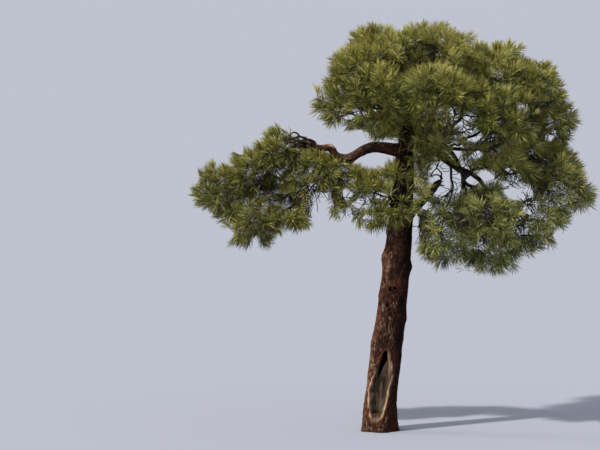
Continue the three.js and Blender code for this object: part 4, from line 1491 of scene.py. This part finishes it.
def object_noise(tree, scale, stretch, detail):
    """Noise on object coordinates, stretched along each axis."""
    coordinates = tree.nodes.new("ShaderNodeTexCoord")
    mapping = tree.nodes.new("ShaderNodeMapping")
    mapping.inputs["Scale"].default_value = stretch
    tree.links.new(coordinates.outputs["Object"], mapping.inputs["Vector"])
    noise = tree.nodes.new("ShaderNodeTexNoise")
    noise.inputs["Scale"].default_value = scale
    noise.inputs["Detail"].default_value = detail
    tree.links.new(mapping.outputs["Vector"], noise.inputs["Vector"])
    return noise.outputs["Fac"]


def sum_of(tree, value, share, other, other_share, offset):
    """share * value + other_share * other + offset, as nodes."""
    nodes = []
    for term, factor in ((value, share), (other, other_share)):
        node = tree.nodes.new("ShaderNodeMath")
        node.operation = "MULTIPLY_ADD"
        tree.links.new(term, node.inputs[0])
        node.inputs[1].default_value = factor
        nodes.append(node)
    nodes[0].inputs[2].default_value = offset
    tree.links.new(nodes[0].outputs[0], nodes[1].inputs[2])
    return nodes[1].outputs[0]


BUMP_STRENGTH, BUMP_DEPTH = 0.5, 0.004  # grain too fine for the skin's grid
# Near-black colour of the cracks, their own dark colour deepened by painted shade; holes and the sunk eye
# take it as painted shade.
CRACK_AND_HOLE_SHADE = [(0.3, (0.005, 0.003, 0.002)), (0.7, (0.010, 0.006, 0.005))]
RUST = [(0.3, (0.055, 0.015, 0.008)), (0.7, (0.165, 0.052, 0.026))]
BARE_WOOD = [(0.30, (0.017, 0.011, 0.007)), (0.52, (0.056, 0.040, 0.026)), (0.78, (0.130, 0.101, 0.066))]
CALLUS = [(0.3, (0.300, 0.135, 0.068)), (0.7, (0.680, 0.480, 0.330))]


def bark_material(name, plate_stops):
    """Bark whose plates take the given colours, with cracks, rust, bare wood and callus by layer."""
    material, tree, shader = new_material(name, roughness=0.9, specular=0.1)
    mottle = object_noise(tree, 34, (1, 1, 0.6), 6)
    # The tone layer holds each plate's own tone together with painted light and shade, so its palest, tan
    # stop stands in part for painted highlights.
    tone = sum_of(tree, layer(tree, "tone"), 0.75, mottle, 0.9, -0.30)
    plate = noisy_colour(tree, tone, plate_stops)
    plate = mix_colour(tree, layer(tree, "rust"), plate, noisy_colour(tree, mottle, RUST))
    bark = mix_colour(tree, layer(tree, "crack_and_hole_shade"), noisy_colour(tree, mottle, CRACK_AND_HOLE_SHADE), plate)
    wood_colour = noisy_colour(tree, object_noise(tree, 30, (1, 1, 0.08), 5), BARE_WOOD)
    bark = mix_colour(tree, layer(tree, "wound"), bark, wood_colour)
    lip = noisy_colour(tree, object_noise(tree, 40, (1, 1, 0.3), 3), CALLUS)
    tree.links.new(mix_colour(tree, layer(tree, "callus"), bark, lip), shader.inputs["Base Color"])
    bump = tree.nodes.new("ShaderNodeBump")
    bump.inputs["Strength"].default_value = BUMP_STRENGTH
    bump.inputs["Distance"].default_value = BUMP_DEPTH
    tree.links.new(object_noise(tree, 90, (1, 1, 0.5), 8), bump.inputs["Height"])
    tree.links.new(bump.outputs["Normal"], shader.inputs["Normal"])
    return material


TRUNK_PLATES = [
    (0.20, (0.009, 0.0045, 0.003)),
    (0.45, (0.028, 0.0105, 0.0065)),
    (0.66, (0.074, 0.027, 0.016)),
    (0.86, (0.225, 0.155, 0.088)),
]
BOUGH_PLATES = [
    (0.20, (0.012, 0.006, 0.004)),
    (0.50, (0.040, 0.018, 0.012)),
    (0.70, (0.085, 0.040, 0.028)),
    (0.90, (0.190, 0.130, 0.090)),
]
# Darker plates for the boughs in the crown's shade: painted shade.
DARK_PLATES = [(0.2, (0.010, 0.008, 0.006)), (0.5, (0.026, 0.020, 0.014)), (0.8, (0.085, 0.068, 0.046))]
DEAD_PLATES = [(0.2, (0.012, 0.011, 0.009)), (0.5, (0.028, 0.027, 0.020)), (0.8, (0.070, 0.068, 0.052))]
trunk.data.materials.append(bark_material("trunk_bark", TRUNK_PLATES))
bough_bark = bark_material("bough_bark", BOUGH_PLATES)
painted_shade_bark = bark_material("painted_shade_bark", DARK_PLATES)
dead_wood = bark_material("dead_wood", DEAD_PLATES)
for name, piece in boughs.items():
    kind = {"dead_stub": dead_wood, "long_bough": bough_bark}.get(name, painted_shade_bark)
    piece.data.materials.append(kind)

# %% Twig materials


def twig_material(name, low, high):
    """A material of two colours, mottled by noise."""
    material, tree, shader = new_material(name, roughness=0.85, specular=0.25)
    colour = noisy_colour(tree, object_noise(tree, 18, (1, 1, 1), 4), [(0.3, low), (0.7, high)])
    tree.links.new(colour, shader.inputs["Base Color"])
    return material


TWIG_COLOURS = [  # piece, material, colour of its dark and of its light places
    (crown_branches, "branch_bark", (0.014, 0.009, 0.007), (0.050, 0.033, 0.026)),
    (crown_twigs, "twig_bark", (0.020, 0.013, 0.009), (0.060, 0.042, 0.028)),
    (dead_twigs, "dead_twig", (0.011, 0.009, 0.007), (0.042, 0.034, 0.026)),
]
for piece, name, low, high in TWIG_COLOURS:
    piece.data.materials.append(twig_material(name, low, high))

# %% [markdown]
# ## What each piece stands for
#
# The skins replace the trunk and the boughs. The needles replace the masses: each piece of needles
# stands for all of them, because every mass holds sprays of every tint.

# %% Pieces, bodies and replaced nodes
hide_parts("trunk")
for name, piece in boughs.items():
    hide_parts(*(LONG_BOUGH_NODES if name == "long_bough" else (name,)))
for piece in needle_pieces:
    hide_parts(*mass_nodes)
for piece in (trunk, *boughs.values(), crown_branches, crown_twigs, dead_twigs, *needle_pieces):
    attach(piece, "root")

# %% [markdown]
# ## Floor and light
#
# A pale floor that runs out of sight and a soft sky give the shapes room to read. The main light stands
# high on the left in front, as the sun does, and a weak, soft one stands lower and further round.

# %% Floor, sky and lamps
FLOOR_REACH = 8000
FLOOR_COLOUR = (0.34, 0.36, 0.42)
SKY_COLOUR, SKY_STRENGTH = (0.86, 0.90, 1.0), 0.62

bm = bmesh.new()
bmesh.ops.create_circle(bm, cap_ends=True, segments=96, radius=FLOOR_REACH)
floor = show("floor", mesh_of("floor", bm))
floor_material, _, _ = new_material("floor", roughness=1.0, specular=0.0, colour=FLOOR_COLOUR)
floor.data.materials.append(floor_material)

world = bpy.data.worlds.new("soft_sky")
world.use_nodes = True
sky = world.node_tree.nodes["Background"]
sky.inputs["Color"].default_value = (*SKY_COLOUR, 1)
sky.inputs["Strength"].default_value = SKY_STRENGTH
bpy.context.scene.world = world


def far_lamp(name, left, height, softness, strength, colour):
    """A lamp far away, left degrees round from the camera and height degrees up."""
    data = bpy.data.lights.new(name, "SUN")
    data.angle = math.radians(softness)
    data.energy = strength
    data.color = colour
    left, height = math.radians(left), math.radians(height)
    level = math.cos(height)
    towards = Vector((-math.sin(left) * level, -math.cos(left) * level, math.sin(height)))
    show(name, data).rotation_euler = towards.to_track_quat("Z", "Y").to_euler()


far_lamp("key_light", left=52, height=46, softness=3, strength=3.8, colour=(1.0, 0.95, 0.86))
far_lamp("side_light", left=106, height=20, softness=20, strength=1.2, colour=(1.0, 0.93, 0.84))
bpy.context.scene.view_settings.view_transform = "Standard"
